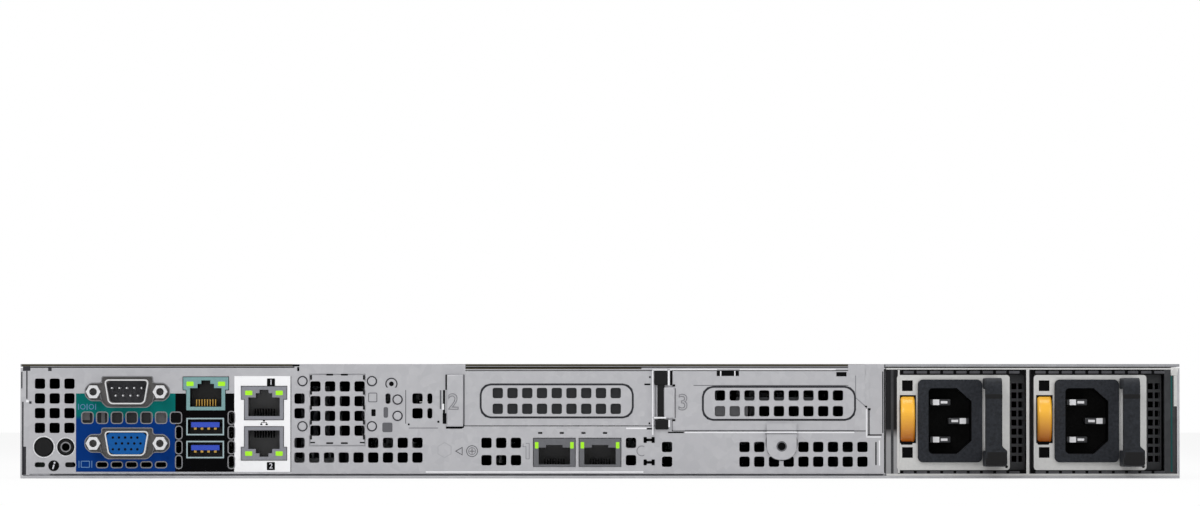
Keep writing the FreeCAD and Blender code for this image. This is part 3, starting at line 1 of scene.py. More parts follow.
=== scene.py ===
"""Rack server seen from behind: finishes, fine fittings, studio light and camera.

Lengths are in millimetres and become metres where a mesh is made. +X is to the right of someone
who looks at the rear wall, and the rear wall faces -Y.
"""
import logging
import math
from dataclasses import dataclass, replace
from enum import Enum
from typing import Any, Iterable, Sequence

import bmesh
import bpy
from mathutils import Matrix, Vector


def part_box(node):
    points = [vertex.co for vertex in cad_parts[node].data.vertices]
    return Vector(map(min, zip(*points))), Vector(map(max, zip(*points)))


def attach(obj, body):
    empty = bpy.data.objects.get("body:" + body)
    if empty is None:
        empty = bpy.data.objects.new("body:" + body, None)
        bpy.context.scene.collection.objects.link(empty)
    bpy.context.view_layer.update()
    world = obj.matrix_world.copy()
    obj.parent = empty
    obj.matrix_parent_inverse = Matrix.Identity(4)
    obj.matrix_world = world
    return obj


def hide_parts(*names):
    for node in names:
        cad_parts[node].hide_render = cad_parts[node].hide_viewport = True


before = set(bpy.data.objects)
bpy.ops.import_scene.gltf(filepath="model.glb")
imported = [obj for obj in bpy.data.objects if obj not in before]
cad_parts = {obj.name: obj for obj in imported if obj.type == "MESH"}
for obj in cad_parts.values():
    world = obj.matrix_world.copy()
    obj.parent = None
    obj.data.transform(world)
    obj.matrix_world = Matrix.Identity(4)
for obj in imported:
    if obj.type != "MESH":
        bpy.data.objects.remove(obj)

log = logging.getLogger("rack_server")

Colour = tuple[float, float, float, float]
Point = tuple[float, float, float]
Span = tuple[float, float]
Patch = tuple[float, float, float, float]
Tree = bpy.types.NodeTree
Socket = bpy.types.NodeSocket
Verts = Sequence[bmesh.types.BMVert]

MM = 0.001
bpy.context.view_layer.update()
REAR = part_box("rear_panel")[0].y / MM
ROOT = "server"

# Middle of the two D connectors across, and the height of each
D_X = -177.0
SERIAL_Z = 32.4
VIDEO_Z = 13.1

# Vertices closer than this many metres are one
WELD = 1e-6
# Faces that meet at less than the first angle are one face; edges sharper than the others are
# softened on a copied part, and shaded as creases
WHOLE_ANGLE = math.radians(0.5)
SOFTENED_ANGLE = math.radians(30)
CREASE_ANGLE = math.radians(32)
# A face this square to an axis is shaded flat, and an edge this close to an axis runs along it
SQUARE = 0.9995
PARALLEL = 0.99

# Thickness of a lip, how far a tab sinks into the wall, the rise of the raised fields, and the depth of
# the wall's outer skin that carries print
THIN = 0.02
SEAT = 0.02
RAISED = 0.6
SKIN = 0.1

# Rolling lines are drawn out along Y by this scale, and relief is this share of the grain's size
ROLLED_SCALE = (1.0, 0.06, 1.0)
EVEN_SCALE = (1.0, 1.0, 1.0)
RELIEF = 0.2

# Font size over the height of a numeral, and how much bolder a filled numeral is than the font
FONT_SCALE = 1.4
BOLD = 0.02


def linear(code: str) -> Colour:
    """Turn an sRGB hex value to linear light by the standard curve.

    Args:
        code: Six hex digits.

    Returns:
        Linear red, green and blue with full alpha.
    """
    parts = [int(code[i:i + 2], 16) / 255 for i in (0, 2, 4)]
    red, green, blue = (p / 12.92 if p <= 0.04045 else ((p + 0.055) / 1.055) ** 2.4 for p in parts)
    return red, green, blue, 1.0


def add(tree: Tree, kind: str, links: dict[str, Any] | None = None, **settings: Any) -> bpy.types.Node:
    """Add one node with its settings and incoming links.

    Args:
        tree: Node tree of a material or the world.
        kind: Node type without its ShaderNode prefix.
        links: Input name or number, and the output socket or plain value that feeds it.
        settings: Properties of the node itself.

    Returns:
        The new node.
    """
    made = tree.nodes.new("ShaderNode" + kind)
    for key, value in settings.items():
        setattr(made, key, value)
    for key, value in (links or {}).items():
        socket = made.inputs[int(key)] if key.isdigit() else made.inputs[key]
        if isinstance(value, Socket):
            tree.links.new(value, socket)
        else:
            socket.default_value = value
    return made


def maths(tree: Tree, operation: str, first: Any, second: Any) -> Socket:
    """Add one step of arithmetic on two sockets or numbers, and give its result."""
    return add(tree, "Math", {"0": first, "1": second}, operation=operation).outputs[0]


def mix(tree: Tree, share: Any, first: Any, second: Any) -> Socket:
    """Mix two colours by the share of the second, and give the result."""
    return add(tree, "Mix", {"0": share, "6": first, "7": second}, data_type="RGBA").outputs[2]


def place(tree: Tree) -> Socket:
    """Give the Object coordinates, in metres."""
    return add(tree, "TexCoord").outputs["Object"]


def empty_tree(owner: bpy.types.Material | bpy.types.World) -> Tree:
    """Give the emptied node tree of a material or the world."""
    owner.use_nodes = True
    owner.node_tree.nodes.clear()
    return owner.node_tree


def show(name: str, data: bpy.types.ID) -> bpy.types.Object:
    """Put a mesh, curve, lamp or camera in the scene under a name, and give its object."""
    thing = bpy.data.objects.new(name, data)
    bpy.context.scene.collection.objects.link(thing)
    return thing


class Grain(Enum):
    """How a surface was made, which sets the pattern that the eye sees."""

    SPANGLE = "zinc crystals"
    ROLLED = "rolling lines"
    MOULDED = "moulded grit"


@dataclass(frozen=True)
class Finish:
    """A material, from its two colours to its grain."""

    name: str
    light: str
    dark: str
    metallic: float
    roughness: float
    grain: Grain
    grain_mm: float
    bump: float = 0.1
    spread: float = 0.08
    glow: float = 0.0
    specular: float = 0.5

    def material(self) -> bpy.types.Material:
        """Give this finish's material, made on first use."""
        known = bpy.data.materials.get(self.name)
        if known:
            return known
        made = bpy.data.materials.new(self.name)
        self.dress(empty_tree(made))
        return made

    def pattern(self, tree: Tree) -> Socket:
        """Draw the grain on Object coordinates.

        Args:
            tree: Node tree of the material.

        Returns:
            A value from 0 to 1 that varies with the grain.
        """
        stretch = ROLLED_SCALE if self.grain is Grain.ROLLED else EVEN_SCALE
        spot = add(tree, "Mapping", {"Vector": place(tree), "Scale": stretch}).outputs["Vector"]
        scale = 1.0 / (self.grain_mm * MM)
        fine = add(tree, "TexNoise", {"Vector": spot, "Scale": scale, "Detail": 3.0, "Roughness": 0.6})
        if self.grain is not Grain.SPANGLE:
            return fine.outputs["Fac"]
        cells = add(tree, "TexVoronoi", {"Vector": spot, "Scale": scale}, feature="F1")
        tone = add(tree, "SeparateColor", {"Color": cells.outputs["Color"]}).outputs["Red"]
        return maths(tree, "MULTIPLY", tone, fine.outputs["Fac"])

    def colour(self, tree: Tree, grain: Socket) -> Socket:
        """Mix the two colours by the value from pattern(), and give the base colour."""
        return mix(tree, grain, linear(self.dark), linear(self.light))

    def shine(self, tree: Tree) -> Any:
        """Give the metallic value, a number where it is the same all over."""
        return self.metallic

    def dress(self, tree: Tree) -> None:
        """Build the whole node tree.

        Args:
            tree: Empty node tree of the material.
        """
        grain = self.pattern(tree)
        rough = add(tree, "MapRange", {"Value": grain, "To Min": max(0.02, self.roughness - self.spread),
                                       "To Max": min(1.0, self.roughness + self.spread)})
        relief = self.grain_mm * MM * RELIEF
        bump = add(tree, "Bump", {"Height": grain, "Strength": self.bump, "Distance": relief})
        colour = self.colour(tree, grain)
        shader = add(tree, "BsdfPrincipled", {
            "Base Color": colour, "Metallic": self.shine(tree), "Roughness": rough.outputs["Result"],
            "Normal": bump.outputs["Normal"], "Specular IOR Level": self.specular})
        if self.glow:
            tree.links.new(colour, shader.inputs["Emission Color"])
            shader.inputs["Emission Strength"].default_value = self.glow
        add(tree, "OutputMaterial", {"Surface": shader.outputs["BSDF"]})


@dataclass(frozen=True)
class Zone:
    """One area of another colour on an outer face, with its bounds across and up: print on the rear wall, and
    painted shade and highlight on the lever and the jamb.
    """

    left: float
    right: float
    low: float
    high: float
    colour: str
    top_colour: str = ""
    fade: Span = (0.0, 1.0)


@dataclass(frozen=True)
class PrintAndShadeSheet(Finish):
    """Sheet or moulding with areas of other colours on its outer face: print, and painted shade and
    highlight.
    """

    zones: tuple[Zone, ...] = ()

    def colour(self, tree: Tree, grain: Socket) -> Socket:
        """Lay the coloured areas over the surface.

        Args:
            tree: Node tree of the material.
            grain: Value from pattern().

        Returns:
            The base colour.
        """
        result = super().colour(tree, grain)
        axes = add(tree, "SeparateXYZ", {"Vector": place(tree)}).outputs
        outer = maths(tree, "LESS_THAN", axes["Y"], (REAR + SKIN) * MM)
        for zone in self.zones:
            mask = outer
            for axis, low, high in (("X", zone.left, zone.right), ("Z", zone.low, zone.high)):
                for test, bound in (("GREATER_THAN", low), ("LESS_THAN", high)):
                    mask = maths(tree, "MULTIPLY", mask, maths(tree, test, axes[axis], bound * MM))
            print_and_shade_colour: Any = linear(zone.colour)
            if zone.top_colour:
                start, stop = zone.fade
                levels = {"Value": axes["Z"], "From Min": start * MM, "From Max": stop * MM}
                rise = add(tree, "MapRange", levels).outputs["Result"]
                print_and_shade_colour = mix(tree, rise, print_and_shade_colour, linear(zone.top_colour))
            result = mix(tree, mask, result, print_and_shade_colour)
        return result


@dataclass(frozen=True)
class LinedAndShadedFinish(Finish):
    """Plated or moulded front with another colour from a given depth inward: painted shade inside shells,
    sockets and the inlet's mouth, and the throat colour of a jack.
    """

    lining_and_shade: str = "0A0A0B"
    inner_from: float = 0.3

    def mask(self, tree: Tree) -> Socket:
        """Give 1 from the given depth inward and 0 in front of it."""
        axes = add(tree, "SeparateXYZ", {"Vector": place(tree)}).outputs
        return maths(tree, "GREATER_THAN", axes["Y"], (REAR + self.inner_from) * MM)

    def colour(self, tree: Tree, grain: Socket) -> Socket:
        """Mix the front and the inner colour, and give the base colour."""
        return mix(tree, self.mask(tree), super().colour(tree, grain), linear(self.lining_and_shade))

    def shine(self, tree: Tree) -> Any:
        """Give a metallic value that ends where the inner colour starts."""
        levels = {"Value": self.mask(tree), "To Min": self.metallic, "To Max": 0.0}
        return add(tree, "MapRange", levels).outputs["Result"]


def ink_and_shade(name: str, light: str, dark: str, roughness: float, specular: float) -> Finish:
    """Make a matt, thin, slightly uneven colour for printed lines, and for stamped and shadowed lines drawn
    as painted shade.
    """
    return Finish(name, light, dark, 0.0, roughness, Grain.MOULDED, 0.4, 0.05, 0.05, specular=specular)


# Galvanised sheet: cool grey with faint crystals a few millimetres across and a soft, broken shine
ZINC = Finish("galvanised_sheet", "BEBEC1", "B0B0B4", 0.25, 0.5, Grain.SPANGLE, 3.0, 0.03, 0.06)
# Thin pressed sheet of the slot covers: the same zinc with finer crystals
COVER = replace(ZINC, name="pressed_zinc_cover", dark="B2B2B6", grain_mm=2.2)
# Cover of the case: galvanised, seen mostly from above
LID = Finish("galvanised_lid", "A9AAAD", "97989C", 0.35, 0.46, Grain.SPANGLE, 5.0, 0.04, 0.08)
# Bright rolled steel of the supply faces: fine lines along the rolling direction
STEEL = Finish("rolled_steel", "D2D2D0", "BEBEBE", 0.4, 0.38, Grain.ROLLED, 1.2, 0.05, 0.08)
# Dark passivated sheet of the supply bay and cases
DARK_SHEET = Finish("dark_passivated_sheet", "3C3D40", "2A2B2E", 0.4, 0.45, Grain.SPANGLE, 3.0, 0.05, 0.08)
# Turned-in tongues at the bay's top and bottom: the same sheet, less shaded
DASH = Finish("half_shaded_sheet", "5E5E61", "4E4E52", 0.1, 0.55, Grain.SPANGLE, 2.0, 0.03, 0.06,
              specular=0.1)
# Nickel plate on screws, pins and cans: bright and smooth, with faint drawing lines
NICKEL = Finish("nickel_plate", "E4E4E6", "CDCED1", 0.6, 0.28, Grain.ROLLED, 0.8, 0.03, 0.06)
# Painted highlights on the edges of thin sheet and on contact tips: pale and even, as edges look when they
# catch the whole room
EDGE = Finish("painted_edge_highlight", "F0F0F2", "E4E4E8", 0.1, 0.5, Grain.ROLLED, 0.8, 0.01, 0.05)
# Tin plate of rims and the jack's sleeve: duller than nickel
TIN = Finish("tin_plate", "8A8A8D", "78787C", 0.3, 0.45, Grain.MOULDED, 0.6, 0.05, 0.06)
# D shells: bright formed steel outside the wall; the flange behind it is painted dull dark grey as shade
D_SHELL = LinedAndShadedFinish("formed_d_shell", "E0E0E0", "CACACC", 0.5, 0.3, Grain.ROLLED, 0.8, 0.03, 0.06,
                      lining_and_shade="5A5857", inner_from=0.4)
# Jack shields: dull plated front with a grey throat; one is tinted, with a black throat
SHIELD = LinedAndShadedFinish("jack_shield", "8E8F96", "7C7D84", 0.4, 0.42, Grain.ROLLED, 0.8, 0.04, 0.06,
                     lining_and_shade="747476", inner_from=-0.2)
GREEN_SHIELD = replace(SHIELD, name="tinted_jack_shield", light="7FA6A6", dark="6E9294", lining_and_shade="141415")
# Shields of the card's jacks: the same plate, darker with handling
CARD_SHIELD = replace(SHIELD, name="card_jack_shield", light="6E6F73", dark="606165", metallic=0.3,
                      roughness=0.45, specular=0.3, lining_and_shade="6A6A6C")
# Bus socket shells: plated edge, with painted shade darkening the inside
BUS_SHELL = LinedAndShadedFinish("bus_socket_shell", "A9BCC0", "93A8AC", 0.5, 0.35, Grain.ROLLED, 0.8, 0.03, 0.06,
                        lining_and_shade="161A22", inner_from=0.1)
# Glass-filled nylon: black, grainy, barely shiny; painted shade makes the mouth blacker than the flange
NYLON = LinedAndShadedFinish("grained_black_nylon", "3A3D44", "040506", 0.0, 0.6, Grain.MOULDED, 1.1, 0.5, 0.1,
                    specular=0.15, lining_and_shade="040404", inner_from=-1.2)
GRIP = Finish("grained_grip_nylon", "34373D", "040506", 0.0, 0.58, Grain.MOULDED, 1.1, 0.5, 0.1,
              specular=0.15)
# Moulded black plastic with a fine, even skin
BLACK = Finish("moulded_black", "19191A", "0F0F10", 0.0, 0.5, Grain.MOULDED, 0.5, 0.12, 0.08, specular=0.15)
# Connector blue: smooth moulded thermoplastic
BLUE = Finish("moulded_blue", "0A5CA6", "084F92", 0.0, 0.42, Grain.MOULDED, 0.6, 0.06, 0.06, specular=0.15)
# Contact tongue blue, a little towards violet
TONGUE = replace(BLUE, name="moulded_tongue_blue", light="3E58C8", dark="3049B4", specular=0.2)
# Indicator windows: clear lime moulding with a lamp behind it
LIME = Finish("lime_indicator", "A6EA16", "8FD60C", 0.0, 0.3, Grain.MOULDED, 0.5, 0.03, 0.05, glow=0.2)
# Gold flash on contacts
GOLD = Finish("gold_flash", "C9A24C", "A8843A", 0.6, 0.35, Grain.ROLLED, 0.5, 0.03, 0.06)
# Screen inks; the black one also serves as painted shade in slits, holes, recesses and gaps
WHITE_INK = ink_and_shade("white_screen_ink", "D8D8DE", "CCCCD4", 0.7, 0.5)
PALE_INK = ink_and_shade("pale_screen_ink", "5F88B6", "547CAA", 0.7, 0.5)
BLACK_INK_AND_SHADE = ink_and_shade("black_ink_and_painted_shade", "0C0C0D", "060607", 0.7, 0.05)
# Stamped lines drawn flat, with painted shade for their grooves: deep ones are grey, shallow ones a little
# darker than the sheet, worn ones hardly so; the grey also draws printed marks and painted shadow round the
# tab
GREY_MARK_AND_SHADE = ink_and_shade("grey_mark_and_painted_shade", "6A6A6E", "5E5E62", 0.6, 0.1)
STAMPED = ink_and_shade("shallow_stamped_line", "8E8E92", "828286", 0.6, 0.1)
WORN = ink_and_shade("worn_mark", "AEAEB2", "A4A4A8", 0.6, 0.1)
# Deep shadow line at a drawn edge
DARK_LINE = ink_and_shade("shadowed_drawn_edge", "404044", "343438", 0.7, 0.05)
# Pressed edge of the lid: bare cut steel gone brown, darkened further as painted shade where it lies in
# shadow
CUT_EDGE = Finish("shaded_brown_cut_edge", "524D3E", "35322A", 0.2, 0.6, Grain.ROLLED, 0.8, 0.05, 0.05, specular=0.1)
# Edge of a cable board beside the second supply: teal laminate
TEAL = Finish("teal_laminate", "1F5A58", "174644", 0.0, 0.5, Grain.MOULDED, 0.8, 0.05, 0.06, specular=0.1)
# Printed circuit board: green lacquer over copper
BOARD = Finish("green_board", "17402B", "0F2D1E", 0.0, 0.4, Grain.MOULDED, 2.5, 0.05, 0.08)
# Extruded aluminium fins
FINS = Finish("extruded_aluminium", "B9BBBE", "A0A2A6", 0.6, 0.36, Grain.ROLLED, 0.8, 0.05, 0.06)
# Cast disk housing
CAST = Finish("cast_aluminium", "6E7074", "5C5E62", 0.5, 0.5, Grain.MOULDED, 0.9, 0.2, 0.08)
# Pale grey mouldings behind the vents
PALE_GREY = Finish("moulded_pale_grey", "7E7E80", "6E6E71", 0.0, 0.55, Grain.MOULDED, 0.6, 0.1, 0.08)
# The insert of the pin connector: matt charcoal moulding
CHARCOAL = Finish("moulded_charcoal", "4A4A4D", "3E3E41", 0.0, 0.6, Grain.MOULDED, 0.5, 0.1, 0.08,
                  specular=0.15)
# Dark grey moulded plastic of fan frames, shroud, carrier handles and headers
GREY = Finish("moulded_grey", "303236", "25272B", 0.0, 0.52, Grain.MOULDED, 0.6, 0.12, 0.08)
# Port plate: galvanised sheet with screen-printed port areas
PORT_SHEET = PrintAndShadeSheet("printed_port_sheet", "C2C2C5", "B6B6BA", 0.0, 0.6, Grain.SPANGLE, 3.0, 0.03, 0.05,
                          specular=0.04, zones=(
    Zone(-196.2, -159.0, 2.46, 31.8, "05347A", "076A66", (22.0, 23.6)),
    Zone(-159.0, -136.9, 2.46, 31.8, "010102"),
    Zone(-136.9, -115.9, 2.46, 38.3, "FAFAFC"),
    Zone(-115.9, -115.5, 2.46, 38.3, "2A2A32"),
))
# Release lever: glossy orange-yellow moulding, with painted shade darkening it towards the bottom and a
# painted highlight making it yellow towards the top
ORANGE = PrintAndShadeSheet("moulded_orange", "F7A21A", "E58A0C", 0.0, 0.24, Grain.MOULDED, 0.8, 0.04, 0.06,
                      zones=(Zone(100.0, 200.0, 10.0, 34.0, "B0560A", "FFBE36", (13.6, 25.5)),))
# Jamb of the supply bay: zinc sheet that lies in the shade above its step
JAMB = PrintAndShadeSheet("shaded_bay_jamb", "8A8A8C", "7C7C80", 0.1, 0.5, Grain.SPANGLE, 3.0, 0.03, 0.05,
                    specular=0.1, zones=(Zone(100.0, 115.0, 0.0, 42.0, "98989A", "1C1C1E", (15.2, 18.6)),))

NODE_FINISH: dict[str, Finish] = {
    "air_shroud": GREY, "card_clamps": COVER, "chassis_base": ZINC, "cover_latch": BLUE,
    "cpu_heatsinks": FINS, "drive_backplane": BOARD, "drive_cage": ZINC, "ear_left": BLACK,
    "ear_right": BLACK, "ethernet_ports": SHIELD, "fan_frames": GREY, "id_button": BLACK,
    "jack_screws": NICKEL, "lom_bracket": COVER, "lom_ports": CARD_SHIELD,
    "management_port": GREEN_SHIELD, "memory_modules": BOARD, "motherboard": BOARD, "power_board": BOARD,
    "power_button": GREY, "psu_cage": DARK_SHEET, "rail_posts": NICKEL, "port_plate": PORT_SHEET,
    "jack_plate": PORT_SHEET, "rear_panel": ZINC, "option_cards": BOARD, "serial_shell": D_SHELL,
    "serial_insert": CHARCOAL, "vga_shell": D_SHELL, "vga_insert": BLUE, "slot_cover_2": COVER,
    "slot_cover_3": COVER, "status_jack": BLACK, "top_cover": LID, "usb_shells": BUS_SHELL,
    "usb_tongues": TONGUE,
}
FAMILY_FINISH: dict[str, Finish] = {
    "carrier_handle": GREY, "drive_carrier": CAST, "fan_rotor": BLACK, "_case": DARK_SHEET, "_face": STEEL,
    "_inlet": NYLON, "_latch": ORANGE, "_handle": GRIP,
}


class Piece:
    """One mesh under construction, with its place in its vertices.

    A step that adds a form gives the piece back, so that steps can follow one another. Forms on the rear
    wall take their middle across and up, how far they stand proud, and a depth where they don't end at it.
    """

    def __init__(self, name: str) -> None:
        """Start an empty mesh under a piece name."""
        self.name = name
        self.shape = bmesh.new()

    def parts(self) -> list[Any]:
        """List every vertex, edge and face."""
        return [*self.shape.verts, *self.shape.edges, *self.shape.faces]

    def move(self, verts: Verts, by: Point | Vector) -> None:
        """Shift some vertices by a distance."""
        bmesh.ops.translate(self.shape, vec=Vector(by) * MM, verts=verts)

    def card(self, width: float, height: float) -> Verts:
        """Draw one flat face about the origin, and give its corners."""
        made = bmesh.ops.create_grid(self.shape, x_segments=1, y_segments=1, size=0.5)["verts"]
        bmesh.ops.scale(self.shape, vec=Vector((width, height, 1.0)) * MM, verts=made)
        return made

    def bar(self, radius: float, tip: float, length: float, sides: int, turn: Matrix | None = None) -> Verts:
        """Draw a round bar about the origin, upright or turned, and give its vertices."""
        return bmesh.ops.create_cone(self.shape, cap_ends=True, segments=sides, radius1=radius * MM,
                                     radius2=tip * MM, depth=length * MM,
                                     matrix=turn or Matrix.Identity(4))["verts"]

    def bevel(self, geom: Sequence[Any], width: float, steps: int, affect: str = "EDGES") -> Verts:
        """Round off edges, or corners where affect is VERTICES, and give the new vertices."""
        return bmesh.ops.bevel(self.shape, geom=geom, offset=width * MM, offset_type="OFFSET", affect=affect,
                               segments=steps, profile=0.5, material=-1)["verts"]

    def inset(self, face: bmesh.types.BMFace, rim: float) -> list[bmesh.types.BMFace]:
        """Draw a border of a given width inside a face, and give the border's faces."""
        return bmesh.ops.inset_region(self.shape, faces=[face], thickness=rim * MM, use_boundary=True,
                                      use_even_offset=True)["faces"]

    def thicken(self, faces: Sequence[bmesh.types.BMFace], by: Point) -> Verts:
        """Give flat faces a thickness by a distance, and give the new vertices."""
        grown = bmesh.ops.extrude_face_region(self.shape, geom=faces)["geom"]
        lifted = [item for item in grown if isinstance(item, bmesh.types.BMVert)]
        self.move(lifted, by)
        return lifted

    def face_rear(self, verts: Verts, at: Point) -> None:
        """Turn a shape that was drawn flat to face the rear, and put its middle in place."""
        bmesh.ops.rotate(self.shape, verts=verts, cent=(0, 0, 0), matrix=Matrix.Rotation(math.pi / 2, 3, "X"))
        self.move(verts, at)

    def hollow(self, face: bmesh.types.BMFace, rim: float, depth: float, middle: Point) -> "Piece":
        """Turn one flat face into a frame with thickness, and put it in place.

        Args:
            face: The face, drawn flat about the origin.
            rim: Width of the frame.
            depth: Its thickness.
            middle: Middle of its rear face.

        Returns:
            The piece itself.
        """
        border = self.inset(face, rim)
        verts = {vert for part in border for vert in part.verts}
        bmesh.ops.delete(self.shape, geom=[face], context="FACES_ONLY")
        lifted = self.thicken(border, (0, 0, -depth))
        self.face_rear(list(verts | set(lifted)), middle)
        return self

    def soften(self, edges: Iterable[bmesh.types.BMEdge], width: float, along: str, steps: int) -> None:
        """Bevel those edges that run along the given axes.

        Args:
            edges: Edges to choose from.
            width: Bevel width.
            along: Axes by letter, or nothing to take every edge.
            steps: Segments of the bevel.
        """
        chosen = []
        for edge in edges:
            run = (edge.verts[1].co - edge.verts[0].co).normalized()
            if not along or any(abs(run["xyz".index(axis)]) > PARALLEL for axis in along):
                chosen.append(edge)
        self.bevel(chosen, width, steps)

    def block(self, low: Point, high: Point, bevel: float = 0.0, along: str = "xyz",
              steps: int = 2) -> "Piece":
        """Add a block between two corners.

        Args:
            low: Lowest corner.
            high: Highest corner.
            bevel: Width of the softened edges, or 0.
            along: Axes whose parallel edges are softened.
            steps: Segments of each softened edge.

        Returns:
            The piece itself.
        """
        made = bmesh.ops.create_cube(self.shape, size=1.0)["verts"]
        bmesh.ops.scale(self.shape, vec=(Vector(high) - Vector(low)) * MM, verts=made)
        self.move(made, (Vector(high) + Vector(low)) / 2)
        if bevel:
            self.soften({edge for vert in made for edge in vert.link_edges}, bevel, along, steps)
        return self

    def panel(self, across: Span, up: Span, proud: float, sunk: float = 0.0, bevel: float = 0.0,
              along: str = "xyz", steps: int = 2) -> "Piece":
        """Add a block on the rear wall, from so far proud of its outer face to so far sunk into it."""
        low = (across[0], REAR - proud, up[0])
        return self.block(low, (across[1], REAR + sunk, up[1]), bevel, along, steps)

    def tabs(self, places: Iterable[Patch], proud: float, bevel: float = 0.0, sunk: float = SEAT) -> "Piece":
        """Add thin flat blocks on the rear wall.

        Args:
            places: Middle across, middle up, width and height of each.
            proud: How far each stands out.
            bevel: Width of its softened corners.
            sunk: How far each reaches into the wall.

        Returns:
            The piece itself.
        """
        for x, z, width, height in places:
            across = (x - width / 2, x + width / 2)
            self.panel(across, (z - height / 2, z + height / 2), proud, sunk, bevel, "y", 3)
        return self

    def drum(self, at: Span, radius: float, proud: float, depth: float = 0.0, tip: float = 0.0,
             sides: int = 24) -> "Piece":
        """Add a round bar that stands out of the rear wall.

        Args:
            at: Its middle, across and up.
            radius: Its radius.
            proud: How far it stands out.
            depth: Its length, where it doesn't end at the wall.
            tip: Radius of the rear end where it differs.
            sides: Sides of the round.

        Returns:
            The piece itself.
        """
        length = depth or proud
        made = self.bar(radius, tip or radius, length, sides)
        self.face_rear(made, (at[0], REAR - proud + length / 2, at[1]))
        return self

    def post(self, foot: Point, radius: float, height: float, sides: int = 20) -> "Piece":
        """Add a round bar that stands up from the middle of its foot."""
        self.move(self.bar(radius, radius, height, sides), (foot[0], foot[1], foot[2] + height / 2))
        return self

    def rim(self, at: Span, size: Span, rim: float, radius: float, proud: float,
            depth: float = 0.0) -> "Piece":
        """Add a flat frame on the rear wall: a rounded outline with an opening inside it.

        Args:
            at: Its middle, across and up.
            size: Outer width and height.
            rim: Width of the frame itself.
            radius: Outer corner radius, or 0.
            proud: How far it stands out.
            depth: Its thickness, where it doesn't end at the wall.

        Returns:
            The piece itself.
        """
        made = self.card(*size)
        face = made[0].link_faces[0]
        if radius:
            bevelled = self.bevel(made, radius, 3, "VERTICES")
            face = max({f for v in bevelled for f in v.link_faces}, key=lambda f: f.calc_area())
        return self.hollow(face, rim, depth or proud, (at[0], REAR - proud, at[1]))

    def ring(self, at: Span, radius: float, bore: float, proud: float, depth: float = 0.0, sides: int = 32,
             turn: float = 0.0) -> "Piece":
        """Add a flat ring on the rear wall.

        Args:
            at: Its middle, across and up.
            radius: Outer radius.
            bore: Inner radius.
            proud: How far it stands out.
            depth: Its thickness, where it doesn't end at the wall.
            sides: Sides of the round.
            turn: Turn in its own plane, in degrees.

        Returns:
            The piece itself.
        """
        made = bmesh.ops.create_circle(self.shape, cap_ends=True, segments=sides, radius=radius * MM,
                                       matrix=Matrix.Rotation(math.radians(turn), 4, "Z"))["verts"]
        face = made[0].link_faces[0]
        return self.hollow(face, radius - bore, depth or proud, (at[0], REAR - proud, at[1]))

    def trim(self, at: Point, way: Point) -> "Piece":
        """Cut away everything on one side of a plane, and close the cut.

        Args:
            at: A point on the plane.
            way: Direction of the side that goes.

        Returns:
            The piece itself.
        """
        cut = bmesh.ops.bisect_plane(self.shape, geom=self.parts(), plane_co=Vector(at) * MM, plane_no=way,
                                     clear_outer=True)["geom_cut"]
        edges = [item for item in cut if isinstance(item, bmesh.types.BMEdge)]
        bmesh.ops.edgeloop_fill(self.shape, edges=edges)
        return self

    def stroke(self, start: Span, stop: Span, width: float, proud: float) -> "Piece":
        """Add a straight line on the rear wall, at any slope.

        Args:
            start: One end, across and up.
            stop: The other end.
            width: Width of the line.
            proud: How far it stands out.

        Returns:
            The piece itself.
        """
        run = Vector((stop[0] - start[0], 0.0, stop[1] - start[1]))
        made = bmesh.ops.create_cube(self.shape, size=1.0)["verts"]
        bmesh.ops.scale(self.shape, vec=Vector((run.length, proud, width)) * MM, verts=made)
        turn = Matrix.Rotation(-math.atan2(run.z, run.x), 3, "Y")
        bmesh.ops.rotate(self.shape, verts=made, cent=(0, 0, 0), matrix=turn)
        self.move(made, ((start[0] + stop[0]) / 2, REAR - proud / 2, (start[1] + stop[1]) / 2))
        return self

    def digits(self, text: str, at: Span, height: float, proud: float, depth: float = 0.0,
               line: float = 0.0) -> "Piece":
        """Add plain numerals on the rear wall, filled or as an outline.

        Args:
            text: The numerals.
            at: Their middle, across and up.
            height: Height of a numeral.
            proud: How far their middle plane stands out.
            depth: Thickness of the filled form.
            line: Width of an outline drawn instead of the filled form, or 0.

        Returns:
            The piece itself.
        """
        curve = bpy.data.curves.new(self.name + "_text", "FONT")
        curve.body = text
        curve.size = height * FONT_SCALE * MM
        curve.align_x = "CENTER"
        curve.align_y = "CENTER"
        if line:
            curve.fill_mode = "NONE"
            curve.bevel_depth = line / 2 * MM
        else:
            curve.extrude = depth / 2 * MM
            curve.offset = height * BOLD * MM
        holder = show(self.name + "_text", curve)
        bpy.context.view_layer.update()
        flat = bpy.data.meshes.new_from_object(holder)
        before = set(self.shape.verts)
        self.shape.from_mesh(flat)
        made = [vert for vert in self.shape.verts if vert not in before]
        self.face_rear(made, (at[0], REAR - proud, at[1]))
        bpy.data.objects.remove(holder)
        bpy.data.curves.remove(curve)
        bpy.data.meshes.remove(flat)
        return self

    def copy_node(self, node: str) -> None:
        """Take a sub-part's form by its name, with its vertices welded."""
        self.shape.from_mesh(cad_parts[node].data)
        bmesh.ops.remove_doubles(self.shape, verts=self.shape.verts, dist=WELD)

